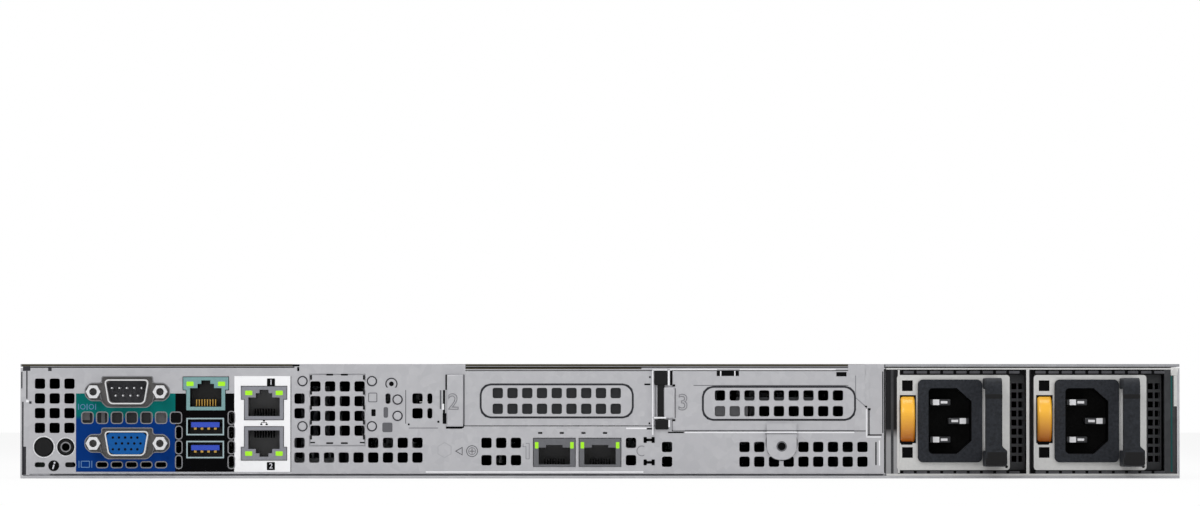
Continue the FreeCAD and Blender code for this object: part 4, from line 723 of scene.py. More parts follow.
    def done(self, finish: Finish, slot: str, body: str = ROOT, instead_of: Sequence[str] = ()) -> None:
        """Close the mesh, dress it and let it ride.

        Args:
            finish: Its material.
            slot: Name of a material slot; not used.
            body: The body that it moves with.
            instead_of: Sub-parts that it stands for.
        """
        bmesh.ops.recalc_face_normals(self.shape, faces=self.shape.faces)
        mesh = bpy.data.meshes.new(self.name)
        self.shape.to_mesh(mesh)
        self.shape.free()
        mesh.materials.append(finish.material())
        mesh.set_sharp_from_angle(angle=CREASE_ANGLE)
        flat = [max(abs(value) for value in face.normal) > SQUARE for face in mesh.polygons]
        mesh.polygons.foreach_set("use_smooth", [not value for value in flat])
        thing = show(self.name, mesh)
        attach(thing, body)
        if instead_of:
            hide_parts(*instead_of)
        log.info("piece %s, %d faces", self.name, len(mesh.polygons))


def dress_nodes() -> None:
    """Give every carried-over sub-part its finish."""
    for name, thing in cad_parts.items():
        finish = NODE_FINISH.get(name)
        if finish is None:
            finish = next(value for key, value in FAMILY_FINISH.items() if key in name)
        thing.data.materials.clear()
        thing.data.materials.append(finish.material())


# Places on the rear wall, as middle across and middle up
RAISED_FIELDS: tuple[Span, ...] = ((-16.2, 29.0), (67.0, 28.1))
UPRIGHT_HALF_VENTS: tuple[Span, ...] = ((-63.7, 24.36), (-63.7, 29.88), (-79.38, 29.88))
FLAT_HALF_VENTS: tuple[Span, ...] = ((-209.7, 5.1), (-198.3, 5.1))
RIVETS: tuple[Span, ...] = ((-111.4, 36.4), (-111.4, 19.5), (-85.4, 36.4), (-85.4, 19.5), (-75.8, 29.5),
                            (-75.8, 23.4))
BOSS: Span = (-78.1, 35.4)
TAB_SCREW: Span = (68.0, 12.0)
CARD_SIGN: Span = (-47.9, 10.2)
INFO_DOT: Span = (-204.5, 4.75)

# Flat marks on the rear wall, each as middle across, middle up, width and height
KNOCKOUT_SIDES = [(x, z, 0.7, 1.7) for x in (-108.2, -88.4) for z in (37.8, 32.2, 26.6, 21.0, 15.4)]
KNOCKOUT_ENDS = [(x, z, 2.6, 0.6) for x in (-101.2, -95.7) for z in (38.8, 13.2)]
KNOCKOUT_CORNERS = [(-107.6, 13.4, 1.8, 0.5), (-89.0, 13.4, 1.8, 0.5)]
CLAMP_SHADOWS = [
    (-57.6, 36.0, 0.6, 5.8), (-58.4, 28.5, 0.8, 9.2), (-58.2, 22.4, 1.4, 4.0), (-54.6, 19.0, 6.2, 0.8),
    (-51.3, 19.6, 0.7, 1.4), (-71.6, 20.2, 0.7, 0.7), (-60.5, 21.2, 0.8, 0.8)]
BRACKET_SLOTS = [(x, z, width, height) for z in (14.4, 6.0)
                 for x, width, height in ((18.4, 3.4, 1.0), (16.9, 1.2, 2.2), (19.9, 1.2, 2.2))]
LATCH_SHADOWS = [
    (17.75, 35.2, 2.3, 0.6), (18.7, 37.9, 0.6, 0.7), (18.5, 20.6, 0.6, 0.7), (26.65, 37.6, 0.8, 5.4),
    (27.7, 34.8, 0.9, 0.8), (27.7, 21.8, 1.0, 0.7), (18.6, 18.6, 2.2, 0.6), (28.4, 17.2, 6.0, 0.5)]
TOP_NOTCHES = [(47.85, 39.3, 8.3, 1.9), (90.4, 39.0, 3.8, 1.6)]
END_SLITS = [
    (100.7, 21.1, 0.45, 9.4), (102.9, 16.25, 5.2, 0.45), (99.6, 27.0, 0.8, 0.8), (100.8, 25.9, 1.0, 0.8),
    (103.3, 9.3, 0.5, 8.6), (105.9, 28.5, 0.4, 23.0), (106.6, 21.5, 0.5, 39.0)]
SMALL_NOTCHES = [(-84.8, 24.6, 1.6, 2.6), (-113.0, 40.9, 0.8, 1.6), (-113.9, 42.3, 2.8, 0.7)]
CLOSED_PORT_VENT = [(-158.78, 22.7, 3.9, 3.9)]
BLANKED_VENTS = [(-80.2, 24.7, 1.7, 4.0), (-79.6, 19.1, 3.8, 3.6)]
PRESSED_LINES = [
    (-72.75, 26.8, 0.3, 12.6), (-66.1, 18.85, 11.0, 0.25), (-59.7, 29.5, 0.6, 7.0),
    (-50.95, 31.0, 0.4, 22.0), (64.0, 34.8, 58.0, 0.25), (46.9, 17.9, 30.0, 0.35),
    (84.5, 17.9, 21.5, 0.35), (28.2, 28.2, 0.25, 11.0)]
TAB_LINES = [(67.8, 16.7, 12.0, 0.3), (67.8, 17.9, 12.0, 0.35)]
LATCH_EDGES = [
    (19.75, 28.4, 0.5, 24.2), (22.4, 40.6, 5.6, 0.4), (25.75, 37.6, 0.7, 5.6), (22.3, 22.7, 5.0, 0.6),
    (25.9, 20.5, 0.6, 2.7)]
SHEET_EDGES = [
    (35.0, 40.75, 17.6, 0.5), (70.3, 40.75, 36.0, 0.5), (46.9, 17.2, 30.0, 0.45), (84.5, 17.2, 21.5, 0.45),
    (99.75, 20.8, 0.4, 10.6), (102.4, 15.5, 5.6, 0.4), (104.6, 9.5, 0.5, 9.4), (14.5, 18.75, 9.5, 0.6),
    (-24.5, 2.4, 81.5, 0.6), (-58.75, 26.8, 0.8, 2.2), (-214.4, 28.9, 1.0, 0.8)]
NOTCH_EDGES = [(45.2, 39.3, 0.45, 1.9), (50.5, 39.3, 0.45, 1.9)]
TAB_EDGE = [(67.8, 17.2, 12.0, 0.45)]
TAB_OUTLINE = [(68.0, 13.4, 11.9, 13.8)]
CORNER_SHADOWS = [
    (-216.5, 36.8, 0.45, 6.2), (-214.6, 35.0, 0.5, 10.4), (-216.1, 15.0, 0.55, 27.4),
    (-215.4, 6.6, 1.1, 10.6), (-214.7, 41.1, 2.8, 1.7), (-206.0, 40.9, 1.3, 1.4), (-213.3, 28.4, 0.9, 0.9),
    (-50.0, 1.3, 312.0, 0.4)]
OUTLINED_ONE = [
    (-26.5, 10.2, 0.25, 5.8), (-27.7, 9.6, 0.25, 4.6), (-27.1, 13.1, 1.4, 0.25), (-27.1, 7.3, 1.4, 0.25),
    (-28.3, 11.9, 1.3, 0.25), (-28.8, 12.4, 0.25, 1.2)]
NETWORK_SIGN = [
    (-125.8, 21.6, 0.8, 0.5), (-126.8, 20.2, 0.8, 0.5), (-124.8, 20.2, 0.8, 0.5), (-125.8, 20.9, 2.2, 0.2),
    (-126.8, 20.6, 0.2, 0.5), (-124.8, 20.6, 0.2, 0.5), (-125.8, 21.2, 0.2, 0.5)]


@dataclass
class RearWall:
    """Perforated sheets with round-cornered vents, rims, rivets, stamped numerals and printed marks."""

    vent: float = 3.9
    half_vent: float = 1.9
    pitch: float = 5.52
    corner: float = 0.75
    lip: float = 0.3
    rim: float = 0.38
    window: Span = (15.9, 6.1)
    window_corner: float = 0.9
    window_growth: float = 1.025

    def fields(self) -> list[tuple[float, float, int, int, float]]:
        """List the unprinted fields of square vents.

        Returns:
            Left, bottom, columns, rows and pitch up of each field.
        """
        p = self.pitch
        low, knock = (-112.5, 7.8), (-98.3 - 1.5 * p, 25.6 - 1.4 * p)
        return [
            (-209.7, 18.9, 3, 4, p), (low[0], low[1], 9, 1, p), (low[0], low[1] + p, 1, 1, p),
            (low[0] + 5 * p, low[1] + p, 4, 1, p), (low[0], low[1] + 3 * p, 1, 2, p),
            (low[0] + 8 * p, low[1] + 3 * p, 1, 2, p), (*knock, 4, 4, p), (54.1, 6.25, 9, 1, p),
            (54.1, 6.25 + p, 2, 1, p), (54.1 + 4 * p, 6.25 + p, 5, 1, p), (25.1, 6.25, 1, 2, p),
            (-42.5, 6.8, 3, 2, 6.5), (11.6, 6.8, 1, 2, 6.5),
        ]

    def punched_corners(self) -> None:
        """Round the punched corners of the vents with thin lips of the same sheet."""
        piece = Piece("vent_lips")
        size = self.vent + 2 * self.lip
        half = self.half_vent + 2 * self.lip
        radius = self.corner + self.lip
        for left, bottom, columns, rows, rise in self.fields():
            for index in range(columns * rows):
                at = (left + index % columns * self.pitch, bottom + index // columns * rise)
                piece.rim(at, (size, size), self.lip, radius, THIN)
        for at in UPRIGHT_HALF_VENTS:
            piece.rim(at, (half, size), self.lip, radius, THIN)
        for at in FLAT_HALF_VENTS:
            piece.rim(at, (size, half), self.lip, radius, THIN)
        for middle, level in RAISED_FIELDS:
            for index in range(18):
                at = (middle + (index % 9 - 4) * self.pitch, level + (index // 9 - 0.5) * 5.9)
                piece.rim(at, (size, size), self.lip, radius, RAISED + THIN, THIN)
        piece.done(COVER, "rear_sheet")

    def window_rims(self) -> None:
        """Bare, rounded rims round the openings of the D connectors, drawn from the wall's own edges."""
        piece = Piece("window_rims")
        piece.copy_node("port_plate")
        shape = piece.shape
        rest = [edge for edge in shape.edges if not (self.in_window(edge) and self.on_face(edge))]
        bmesh.ops.delete(shape, geom=rest, context="EDGES_FACES")
        bmesh.ops.delete(shape, geom=[v for v in shape.verts if not v.link_edges], context="VERTS")
        for face in bmesh.ops.edgeloop_fill(shape, edges=shape.edges)["faces"]:
            middle = face.calc_center_bounds()
            growth = Matrix.Scale(self.window_growth, 4)
            grown = Matrix.Translation(middle) @ growth @ Matrix.Translation(-middle)
            bmesh.ops.transform(shape, matrix=grown, verts=face.verts)
        piece.bevel(list(shape.verts), self.window_corner, 4, "VERTICES")
        inner = sorted(shape.faces, key=lambda f: f.calc_area())[-2:]
        for face in inner:
            piece.inset(face, self.rim)
        bmesh.ops.delete(shape, geom=inner, context="FACES_ONLY")
        piece.thicken(list(shape.faces), (0, -0.05, 0))
        piece.done(TIN, "rear_sheet")

    def in_window(self, edge: bmesh.types.BMEdge) -> bool:
        """Tell whether an edge lies inside the bounds of a D connector's opening."""
        half_w, half_h = self.window
        for vert in edge.verts:
            x, z = vert.co.x / MM - D_X, vert.co.z / MM
            if abs(x) > half_w or min(abs(z - level) for level in (SERIAL_Z, VIDEO_Z)) > half_h:
                return False
        return True

    def on_face(self, edge: bmesh.types.BMEdge) -> bool:
        """Tell whether an edge lies in the wall's outer face and bounds an opening there."""
        outer = all(abs(vert.co.y / MM - REAR) < 0.01 for vert in edge.verts)
        return outer and any(abs(face.normal.y) < 0.5 for face in edge.link_faces)

    def rims(self) -> None:
        """Bare metal rims round the openings in the printed areas."""
        piece = Piece("print_rims")
        extra = 2 * self.rim
        square = self.vent + extra
        for column in range(7):
            piece.rim((-191.9 + column * self.pitch, 22.7), (square, square), self.rim, 1.2, 0.05)
        for column in range(5):
            size = (square, self.half_vent + extra)
            piece.rim((-186.4 + column * self.pitch, 5.1), size, self.rim, 1.1, 0.05)
        for x, rows in ((-157.7, 3), (-138.0, 4)):
            for row in range(rows):
                piece.rim((x, 6.1 + row * self.pitch), (2.1 + extra, 4.5 + extra), self.rim, 1.2, 0.05)
        piece.done(TIN, "rear_sheet")

    def rivets(self) -> None:
        """Low rivet heads with a turned-down rim, and a painted shadow ring round each."""
        heads = Piece("rivet_heads")
        rims = Piece("rivet_shadow_rings")
        for at in RIVETS:
            heads.drum(at, 1.6, 0.3, tip=1.3)
            rims.ring(at, 1.95, 1.48, 0.12)
        heads.done(COVER, "rear_sheet")
        rims.done(DARK_LINE, "rear_sheet")

    def beads(self) -> None:
        """Shadowed feet of the raised fields, and the seam round the card bracket."""
        feet = Piece("bead_feet")
        for at in RAISED_FIELDS:
            feet.rim(at, (57.7, 13.1), 1.0, 4.1, 0.06)
        feet.done(DARK_LINE, "rear_sheet")
        seam = Piece("bracket_seam").rim((-19.0, 10.45), (78.6, 16.3), 1.1, 0.0, 0.02, 0.2)
        seam.done(COVER, "rear_sheet")

    def slits(self) -> None:
        """Dark slits, notches, holes and shadows in the sheet, all painted shade."""
        dark = Piece("wall_slits").tabs(KNOCKOUT_SIDES, 0.04).tabs(KNOCKOUT_ENDS, 0.04, 0.2)
        dark.tabs(KNOCKOUT_CORNERS, 0.04).tabs(CLAMP_SHADOWS, 0.04, 0.2).tabs(BRACKET_SLOTS, 0.08, 0.2)
        dark.tabs(LATCH_SHADOWS, 0.08).tabs(TOP_NOTCHES, 0.08).tabs(END_SLITS, 0.05)
        dark.tabs(SMALL_NOTCHES, 0.05, 0.3).tabs(CLOSED_PORT_VENT, 0.03, 0.8)
        dark.drum(BOSS, 0.9, 0.05).drum(TAB_SCREW, 1.45, 1.06, 0.1)
        dark.done(BLACK_INK_AND_SHADE, "rear_sheet")

    def pressings(self) -> None:
        """Blanked vents, pressed lines, bright sheet edges painted as highlights, outlines, and the rear edge
        of the lid painted as shade.
        """
        blind = Piece("blanked_vents").tabs(BLANKED_VENTS, 0.03, 0.6)
        blind.rim((-85.1, 30.3), (3.4, 3.6), 0.3, 0.5, 0.03).tabs(PRESSED_LINES, 0.03)
        # The tab's two grey lines are painted shade beside its bright edge
        blind.ring(TAB_SCREW, 1.95, 1.45, 1.05, 0.05).tabs(TAB_LINES, 1.05)
        blind.done(GREY_MARK_AND_SHADE, "rear_sheet")
        # Painted highlights along the latch's edges and the sheet's bent edges
        bright = Piece("bright_edges").tabs(LATCH_EDGES, 1.3, 0.1).tabs(SHEET_EDGES, 0.07)
        bright.tabs(NOTCH_EDGES, 0.1).tabs(TAB_EDGE, 1.07).done(EDGE, "port_steel")
        # Painted shadow round the tab's sides and bottom
        tab = Piece("tab_outline").tabs(TAB_OUTLINE, 0.4, 5.9).trim((0.0, 0.0, 16.6), (0.0, 0.0, 1.0))
        tab.done(GREY_MARK_AND_SHADE, "rear_sheet")
        bend = (95.7, 30.2)
        fold = Piece("cover_fold").stroke((95.7, 38.5), bend, 0.3, 0.05).stroke(bend, (99.6, 26.8), 0.3, 0.05)
        fold.done(STAMPED, "rear_sheet")
        arc = Piece("boss_shadow").ring(BOSS, 2.3, 1.85, 0.05).trim((0.0, 0.0, 34.0), (0.0, 0.0, -1.0))
        arc.done(DARK_LINE, "rear_sheet")
        hook = Piece("stamped_hook").ring((15.65, 10.3), 2.0, 1.65, 0.06)
        hook.trim((16.6, 0.0, 0.0), (1.0, 0.0, 0.0)).done(STAMPED, "rear_sheet")
        # Painted shade along the rear edge of the lid
        edge = Piece("lid_edge").panel((-216.6, -115.2), (42.0, 42.75), 0.06)
        edge.panel((-57.6, 98.4), (42.0, 42.75), 0.06).panel((-53.0, 15.5), (40.9, 41.4), 0.06, -0.01)
        edge.done(CUT_EDGE, "cover_sheet", "top_cover")

    def corners(self) -> None:
        """Folded return at the left end, the ends of the wall's tabs, and the dark slit under the wall."""
        fold = Piece("corner_fold").panel((-216.0, -213.6), (1.2, 41.9), 0.03, 0.3)
        for across, up in (((-58.8, -50.4), (38.9, 42.7)), ((92.9, 99.4), (38.9, 42.7)),
                           ((99.3, 100.9), (27.2, 40.6))):
            fold.panel(across, up, 0.1, -0.061)
        fold.done(ZINC, "rear_sheet")
        Piece("corner_shadows").tabs(CORNER_SHADOWS, 0.05).done(DARK_LINE, "rear_sheet")

    def depths(self) -> None:
        """Shaded mouldings that show through some of the vents."""
        near = Piece("port_bodies")
        for across, up in (((-194.5, -191.2), (21.8, 25.0)), ((-186.9, -185.5), (20.4, 25.0)),
                           ((-168.4, -167.6), (20.4, 25.0)), ((-166.4, -162.2), (20.4, 25.0)),
                           ((42.0, 55.4), (22.6, 27.2))):
            near.panel(across, up, -2.6, 3.2)
        near.done(PALE_GREY, "grey_plastic")
        far = Piece("slot_depths").panel((-44.5, 13.5), (23.2, 34.6), -2.6, 3.2)
        far.panel((51.0, 82.0), (28.6, 30.4), -2.6, 3.2).panel((-194.5, -166.0), (20.4, 25.0), -3.3, 3.6)
        far.done(GREY, "grey_plastic")

    def numerals(self) -> None:
        """Outlined slot numerals stamped in the sheet, drawn as lines of painted shade."""
        piece = Piece("slot_numerals").digits("2", (-54.9, 28.4), 6.0, 1.25, line=0.3)
        piece.digits("3", (31.1, 28.2), 6.0, 0.05, line=0.3).tabs(OUTLINED_ONE, 0.06)
        piece.done(STAMPED, "rear_sheet")

    def marks(self) -> None:
        """Printed tiles with numerals, the info dot, port icons and the marks beside the card bracket."""
        tiles = Piece("numeral_tiles")
        white = Piece("tile_numerals")
        for text, x, z in (("1", -123.2, 35.9), ("2", -123.2, 4.6)):
            tiles.panel((x - 1.5, x + 1.5), (z - 1.5, z + 1.5), 0.05, 0.0, 0.2, "y")
            white.digits(text, (x, z), 2.0, 0.08, 0.03)
        tiles.drum(INFO_DOT, 2.05, 0.05).tabs(NETWORK_SIGN, 0.05).done(BLACK_INK_AND_SHADE, "rear_sheet")
        white.stroke((-204.85, 3.5), (-204.4, 5.15), 0.55, 0.09)
        white.drum((-204.2, 5.85), 0.36, 0.09, 0.04, sides=16).done(WHITE_INK, "rear_sheet")
        arrow = Piece("bracket_marks").ring(CARD_SIGN, 2.2, 1.9, 0.06).ring(CARD_SIGN, 1.4, 1.2, 0.06)
        arrow.panel((-48.9, -46.9), (10.05, 10.35), 0.06).panel((-48.05, -47.75), (9.2, 11.2), 0.06)
        arrow.ring((-52.4, 10.2), 1.9, 1.6, 0.06, sides=3, turn=90.0).done(GREY_MARK_AND_SHADE, "rear_sheet")
        Piece("worn_marks").ring((-58.2, 10.6), 3.0, 2.7, 0.03, sides=6).done(WORN, "rear_sheet")
        icons = Piece("port_icons")
        for x in (-195.2, -190.4):
            icons.panel((x, x + 0.3), (4.0, 6.6), 0.06)
        icons.rim((-192.65, 5.3), (3.4, 2.6), 0.3, 0.3, 0.06)
        for x in (-195.4, -192.2, -189.0):
            icons.panel((x, x + 0.3), (25.7, 27.9), 0.06)
        for x in (-193.65, -190.45):
            icons.ring((x, 26.8), 1.0, 0.75, 0.06, sides=20)
        icons.done(PALE_INK, "rear_sheet")

    def build(self) -> None:
        """Make every piece of the wall."""
        self.punched_corners()
        self.window_rims()
        self.rims()
        self.rivets()
        self.beads()
        self.slits()
        self.pressings()
        self.corners()
        self.depths()
        self.numerals()
        self.marks()


@dataclass
class Connectors:
    """Pins, sockets, indicators and contacts of the ports."""

    d_top: float = 16.8
    d_bottom: float = 13.6
    d_height: float = 9.3
    d_corner: float = 1.7
    flange: Span = (15.4, 6.2)
    pin_pitch: float = 2.77
    socket_pitch: float = 2.29
    contact_pitch: float = 1.02
    button: Span = (-208.2, 11.75)
    status: Span = (-200.0, 11.75)

    def shells(self) -> None:
        """Rebuild the D shells with drawn, round corners on their flanges."""
        half_w, half_h = self.flange
        for node, z in (("serial_shell", SERIAL_Z), ("vga_shell", VIDEO_Z)):
            piece = Piece(node + "_drawn")
            made = piece.card(self.d_top, self.d_height)
            foot = [vert for vert in made if vert.co.y < 0]
            bmesh.ops.scale(piece.shape, vec=(self.d_bottom / self.d_top, 1, 1), verts=foot)
            piece.bevel(made, self.d_corner, 6, "VERTICES")
            face = max(piece.shape.faces, key=lambda f: f.calc_area())
            piece.hollow(face, 0.5, 6.5, (D_X, REAR - 5.0, z))
            piece.panel((D_X - half_w, D_X + half_w), (z - half_h, z + half_h), -1.05, 2.0)
            piece.done(D_SHELL, "port_steel", instead_of=[node])

    def serial_pins(self) -> None:
        """Nine pins in two rows."""
        piece = Piece("serial_pins")
        for count, rise in ((5, 1.42), (4, -1.42)):
            for index in range(count):
                x = D_X + (index - (count - 1) / 2) * self.pin_pitch
                piece.drum((x, SERIAL_Z + rise), 0.5, 4.2, 5.2, tip=0.3, sides=12)
        piece.done(NICKEL, "port_steel")

    def video_sockets(self) -> None:
        """Fifteen contact holes in three rows, drawn as black discs of painted shade."""
        piece = Piece("video_sockets")
        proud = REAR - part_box("vga_insert")[0].y / MM + 0.04
        for row, shift in enumerate((-0.5, 0.65, -0.5)):
            for index in range(5):
                x = D_X + (index - 2) * self.socket_pitch + shift
                piece.drum((x, VIDEO_Z + (1 - row) * 2.2), 0.48, proud, 0.04, sides=12)
        piece.done(BLACK_INK_AND_SHADE, "black_plastic")

    def contacts(self, piece: Piece, x: float, up: Span, front: float, back: float) -> None:
        """Add the eight contacts of one modular jack.

        Args:
            piece: The piece they join.
            x: Middle of the jack.
            up: Their lower and upper ends.
            front: Depth of their near ends in the wall.
            back: Depth of their far ends.
        """
        for index in range(8):
            at = x + (index - 3.5) * self.contact_pitch
            piece.panel((at - 0.2, at + 0.2), up, -front, back, 0.08)

    def jack(self, name: str, x: float, up: Span, lamp_z: float, lamp_x: float, finish: Finish) -> None:
        """Contacts and two indicator windows of one modular jack.

        Args:
            name: Start of the piece names.
            x: Middle of the jack.
            up: Lower and upper ends of the contacts.
            lamp_z: Height of the indicators' middle.
            lamp_x: Distance of an indicator from the middle.
            finish: Finish of the contacts.
        """
        contacts = Piece(name + "_contacts")
        self.contacts(contacts, x, up, 2.0, 9.0)
        contacts.done(finish, "port_steel")
        lamps = [(x + side * lamp_x, lamp_z, 2.7, 1.7) for side in (-1, 1)]
        Piece(name + "_lamps").tabs(lamps, 0.36, 0.3, -0.2).done(LIME, "grey_plastic")

    def card_jacks(self) -> None:
        """Contacts and small indicators of the two jacks on the network card."""
        contacts = Piece("card_jack_contacts")
        lamps = Piece("card_jack_lamps")
        for x in (-17.1, 0.0):
            self.contacts(contacts, x, (5.3, 7.4), 1.6, 8.0)
            lamps.tabs([(x + side * 6.6, 12.4, 1.3, 2.4) for side in (-1, 1)], 0.36, 0.2, -0.2)
        contacts.done(BLACK_INK_AND_SHADE, "port_steel")
        lamps.done(LIME, "grey_plastic")

    def bus_contacts(self) -> None:
        """Contacts under the tongues of the bus sockets."""
        piece = Piece("bus_contacts")
        for z in (19.4, 10.8):
            for index in range(4):
                x = -147.8 + (index - 1.5) * 2.5
                piece.panel((x - 0.5, x + 0.5), (z - 1.2, z - 0.35), -0.6, 6.0, 0.12)
        piece.done(GOLD, "port_steel")

    def controls(self) -> None:
        """Bright rings round the button and the status jack, and the jack's inner sleeve."""
        ring = Piece("button_ring").ring(self.button, 4.15, 3.75, 0.2, sides=48)
        ring.ring(self.status, 3.6, 3.3, 0.12, sides=40).done(NICKEL, "port_steel")
        Piece("jack_sleeve").ring(self.status, 1.95, 1.5, 0.4, 0.3).done(TIN, "port_steel")

    def build(self) -> None:
        """Make every fitting of the ports."""
        self.shells()
        self.serial_pins()
        self.video_sockets()
        self.jack("management_jack", -147.6, (27.0, 29.6), 35.4, 5.9, GOLD)
        self.jack("upper_jack", -125.8, (23.5, 26.1), 32.0, 5.7, BLACK_INK_AND_SHADE)
        self.jack("lower_jack", -125.8, (15.2, 17.8), 9.3, 5.7, BLACK_INK_AND_SHADE)
        self.card_jacks()
        self.bus_contacts()
        self.controls()


@dataclass
class Clamps:
    """Card clamp beside slot two, and the black latch with its bright clip between the slots."""

    plate_proud: float = 1.2
    neck_proud: float = 0.8
    clip_proud: float = 1.25

    def build(self) -> None:
        """Rebuild the clamps in their own materials."""
        plate = Piece("card_clamp_plate")
        plate.panel((-57.3, -51.2), (19.4, 38.8), self.plate_proud, bevel=0.4, steps=3)
        plate.done(COVER, "rear_sheet", instead_of=["card_clamps"])
        latch = Piece("card_latch").panel((20.4, 25.3), (34.9, 40.4), self.plate_proud, bevel=0.4)
        latch.panel((21.5, 24.2), (21.0, 36.0), self.neck_proud, bevel=0.3)
        latch.panel((20.7, 25.7), (18.3, 22.0), self.plate_proud, bevel=0.4).done(BLACK, "black_plastic")
        clip = Piece("card_latch_clip").panel((23.9, 28.0), (22.4, 34.2), self.clip_proud, bevel=0.6, steps=3)
        clip.done(COVER, "rear_sheet")


@dataclass
class Supply:
    """Visible end of one plug-in power supply."""

    index: int
    x: float
    face_z: float = 22.2
    inlet_z: float = 21.5
    blade_front: float = 1.4
    lever_x: float = -19.85
    lever_radius: float = 9.55
    lever_width: float = 5.3
    lever_proud: float = 5.0
    grip_x: float = 12.2
    grip_proud: float = 24.0
    foot_top: float = 10.4
    slim_from: float = 12.0
    slim: float = 1.8

    @property
    def body(self) -> str:
        """Name of the supply's own body."""
        return f"psu_{self.index}"

    def blades(self) -> None:
        """Plated sleeves on the three blades in the inlet's mouth, with painted highlights on their tips."""
        sleeves = Piece(f"{self.body}_sleeves")
        tips = Piece(f"{self.body}_blade_tip_highlights")
        proud = 0.06 - self.blade_front
        for shift, rise, side in ((-7.6, -7.0, -1), (-7.6, 7.0, -1), (-0.6, 0.0, 1)):
            x, z = self.x + shift, self.inlet_z + rise
            sleeves.panel((x - 3.9, x + 3.9), (z - 1.15, z + 1.15), -self.blade_front, 13.0, 0.3)
            for middle, wide, high in ((x + side * 1.5, 2.4, 2.1), (x - side * 1.5, 2.5, 0.9)):
                across, up = (middle - wide / 2, middle + wide / 2), (z - high / 2, z + high / 2)
                tips.panel(across, up, proud, self.blade_front + 0.2, 0.15, "y")
        sleeves.done(DARK_SHEET, "port_steel", self.body)
        tips.done(EDGE, "port_steel", self.body)

    def lever(self) -> None:
        """Rebuild the release lever as a barrel that a thumb presses."""
        piece = Piece(f"{self.body}_thumb_pad")
        x, radius = self.x + self.lever_x, self.lever_radius
        lying = Matrix.Rotation(math.pi / 2, 4, "Y")
        made = piece.bar(radius, radius, self.lever_width, 80, lying)
        piece.move(made, (x, REAR - self.lever_proud + radius, self.face_z))
        piece.trim((0.0, REAR + 0.4, 0.0), (0.0, 1.0, 0.0))
        sides = [edge for edge in piece.shape.edges if abs(edge.verts[0].co.x - edge.verts[1].co.x) < WELD]
        piece.bevel(sides, 0.9, 3)
        piece.panel((x - 1.3, x + 1.3), (13.6, 30.8), 0.0, 3.2)
        piece.done(ORANGE, "orange_plastic", f"{self.body}_latch", [f"{self.body}_latch"])

    def grip(self) -> None:
        """Rebuild the pull grip with soft edges and a slim bar, a raised collar and a foot."""
        piece = Piece(f"{self.body}_grip")
        piece.copy_node(f"{self.body}_handle")
        shape = piece.shape
        bmesh.ops.dissolve_limit(shape, angle_limit=WHOLE_ANGLE, use_dissolve_boundaries=False,
                                 verts=shape.verts, edges=shape.edges)
        sharp = [edge for edge in shape.edges if edge.calc_face_angle(0.0) > SOFTENED_ANGLE]
        piece.soften(sharp, 0.5, "", 3)
        x, outer = self.x + self.grip_x, REAR - self.grip_proud
        for z in (self.foot_top, self.slim_from):
            bmesh.ops.bisect_plane(shape, geom=piece.parts(), plane_co=(0, 0, z * MM), plane_no=(0, 0, 1))
        above = (self.foot_top + 0.6) * MM
        piece.move([v for v in shape.verts if v.co.z > above and v.co.x > (x + 3.0) * MM], (-self.slim, 0, 0))
        piece.move([v for v in shape.verts if v.co.y < (outer + 0.05) * MM], (0, 0.1, 0))
        piece.done(GRIP, "black_plastic", self.body, [f"{self.body}_handle"])
        # Both bands are blacker than the grip; on the foot the black is painted shade
        band = Piece(f"{self.body}_grip_bands")
        band.block((x - 3.97, outer + 0.04, 29.6), (x + 4.0 - self.slim, outer + 4.0, 31.6), 0.3)
        band.block((x - 3.97, outer + 0.04, 5.0), (x + 3.97, outer + 4.0, self.foot_top), 0.6)
        band.done(BLACK, "black_plastic", self.body)
        joint = Piece(f"{self.body}_grip_joint")
        joint.block((x - 3.9, outer + 0.02, 10.5), (x + 4.2 - self.slim, outer + 3.0, 12.2), 0.4)
        joint.done(GRIP, "black_plastic", self.body)

    def face_marks(self) -> None:
        """Dark depths of the two square windows and the lever's slot as painted shade, and the small hole in
        the corner.
        """
        piece = Piece(f"{self.body}_window_depths")
        for z in (self.face_z - 12.5, self.face_z + 12.5):
            piece.panel((self.x - 22.1, self.x - 17.7), (z - 2.2, z + 2.2), -0.6, 0.9)
        piece.drum((self.x + 17.2, 4.4), 0.55, 0.03, sides=16)
        piece.panel((self.x - 22.4, self.x - 18.0), (12.6, 31.1), 0.04, 0.0, 0.4, "y")
        piece.done(BLACK_INK_AND_SHADE, "black_plastic", self.body)

    def build(self) -> None:
        """Make the supply's fittings."""
        self.blades()
        self.lever()
        self.grip()
        self.face_marks()


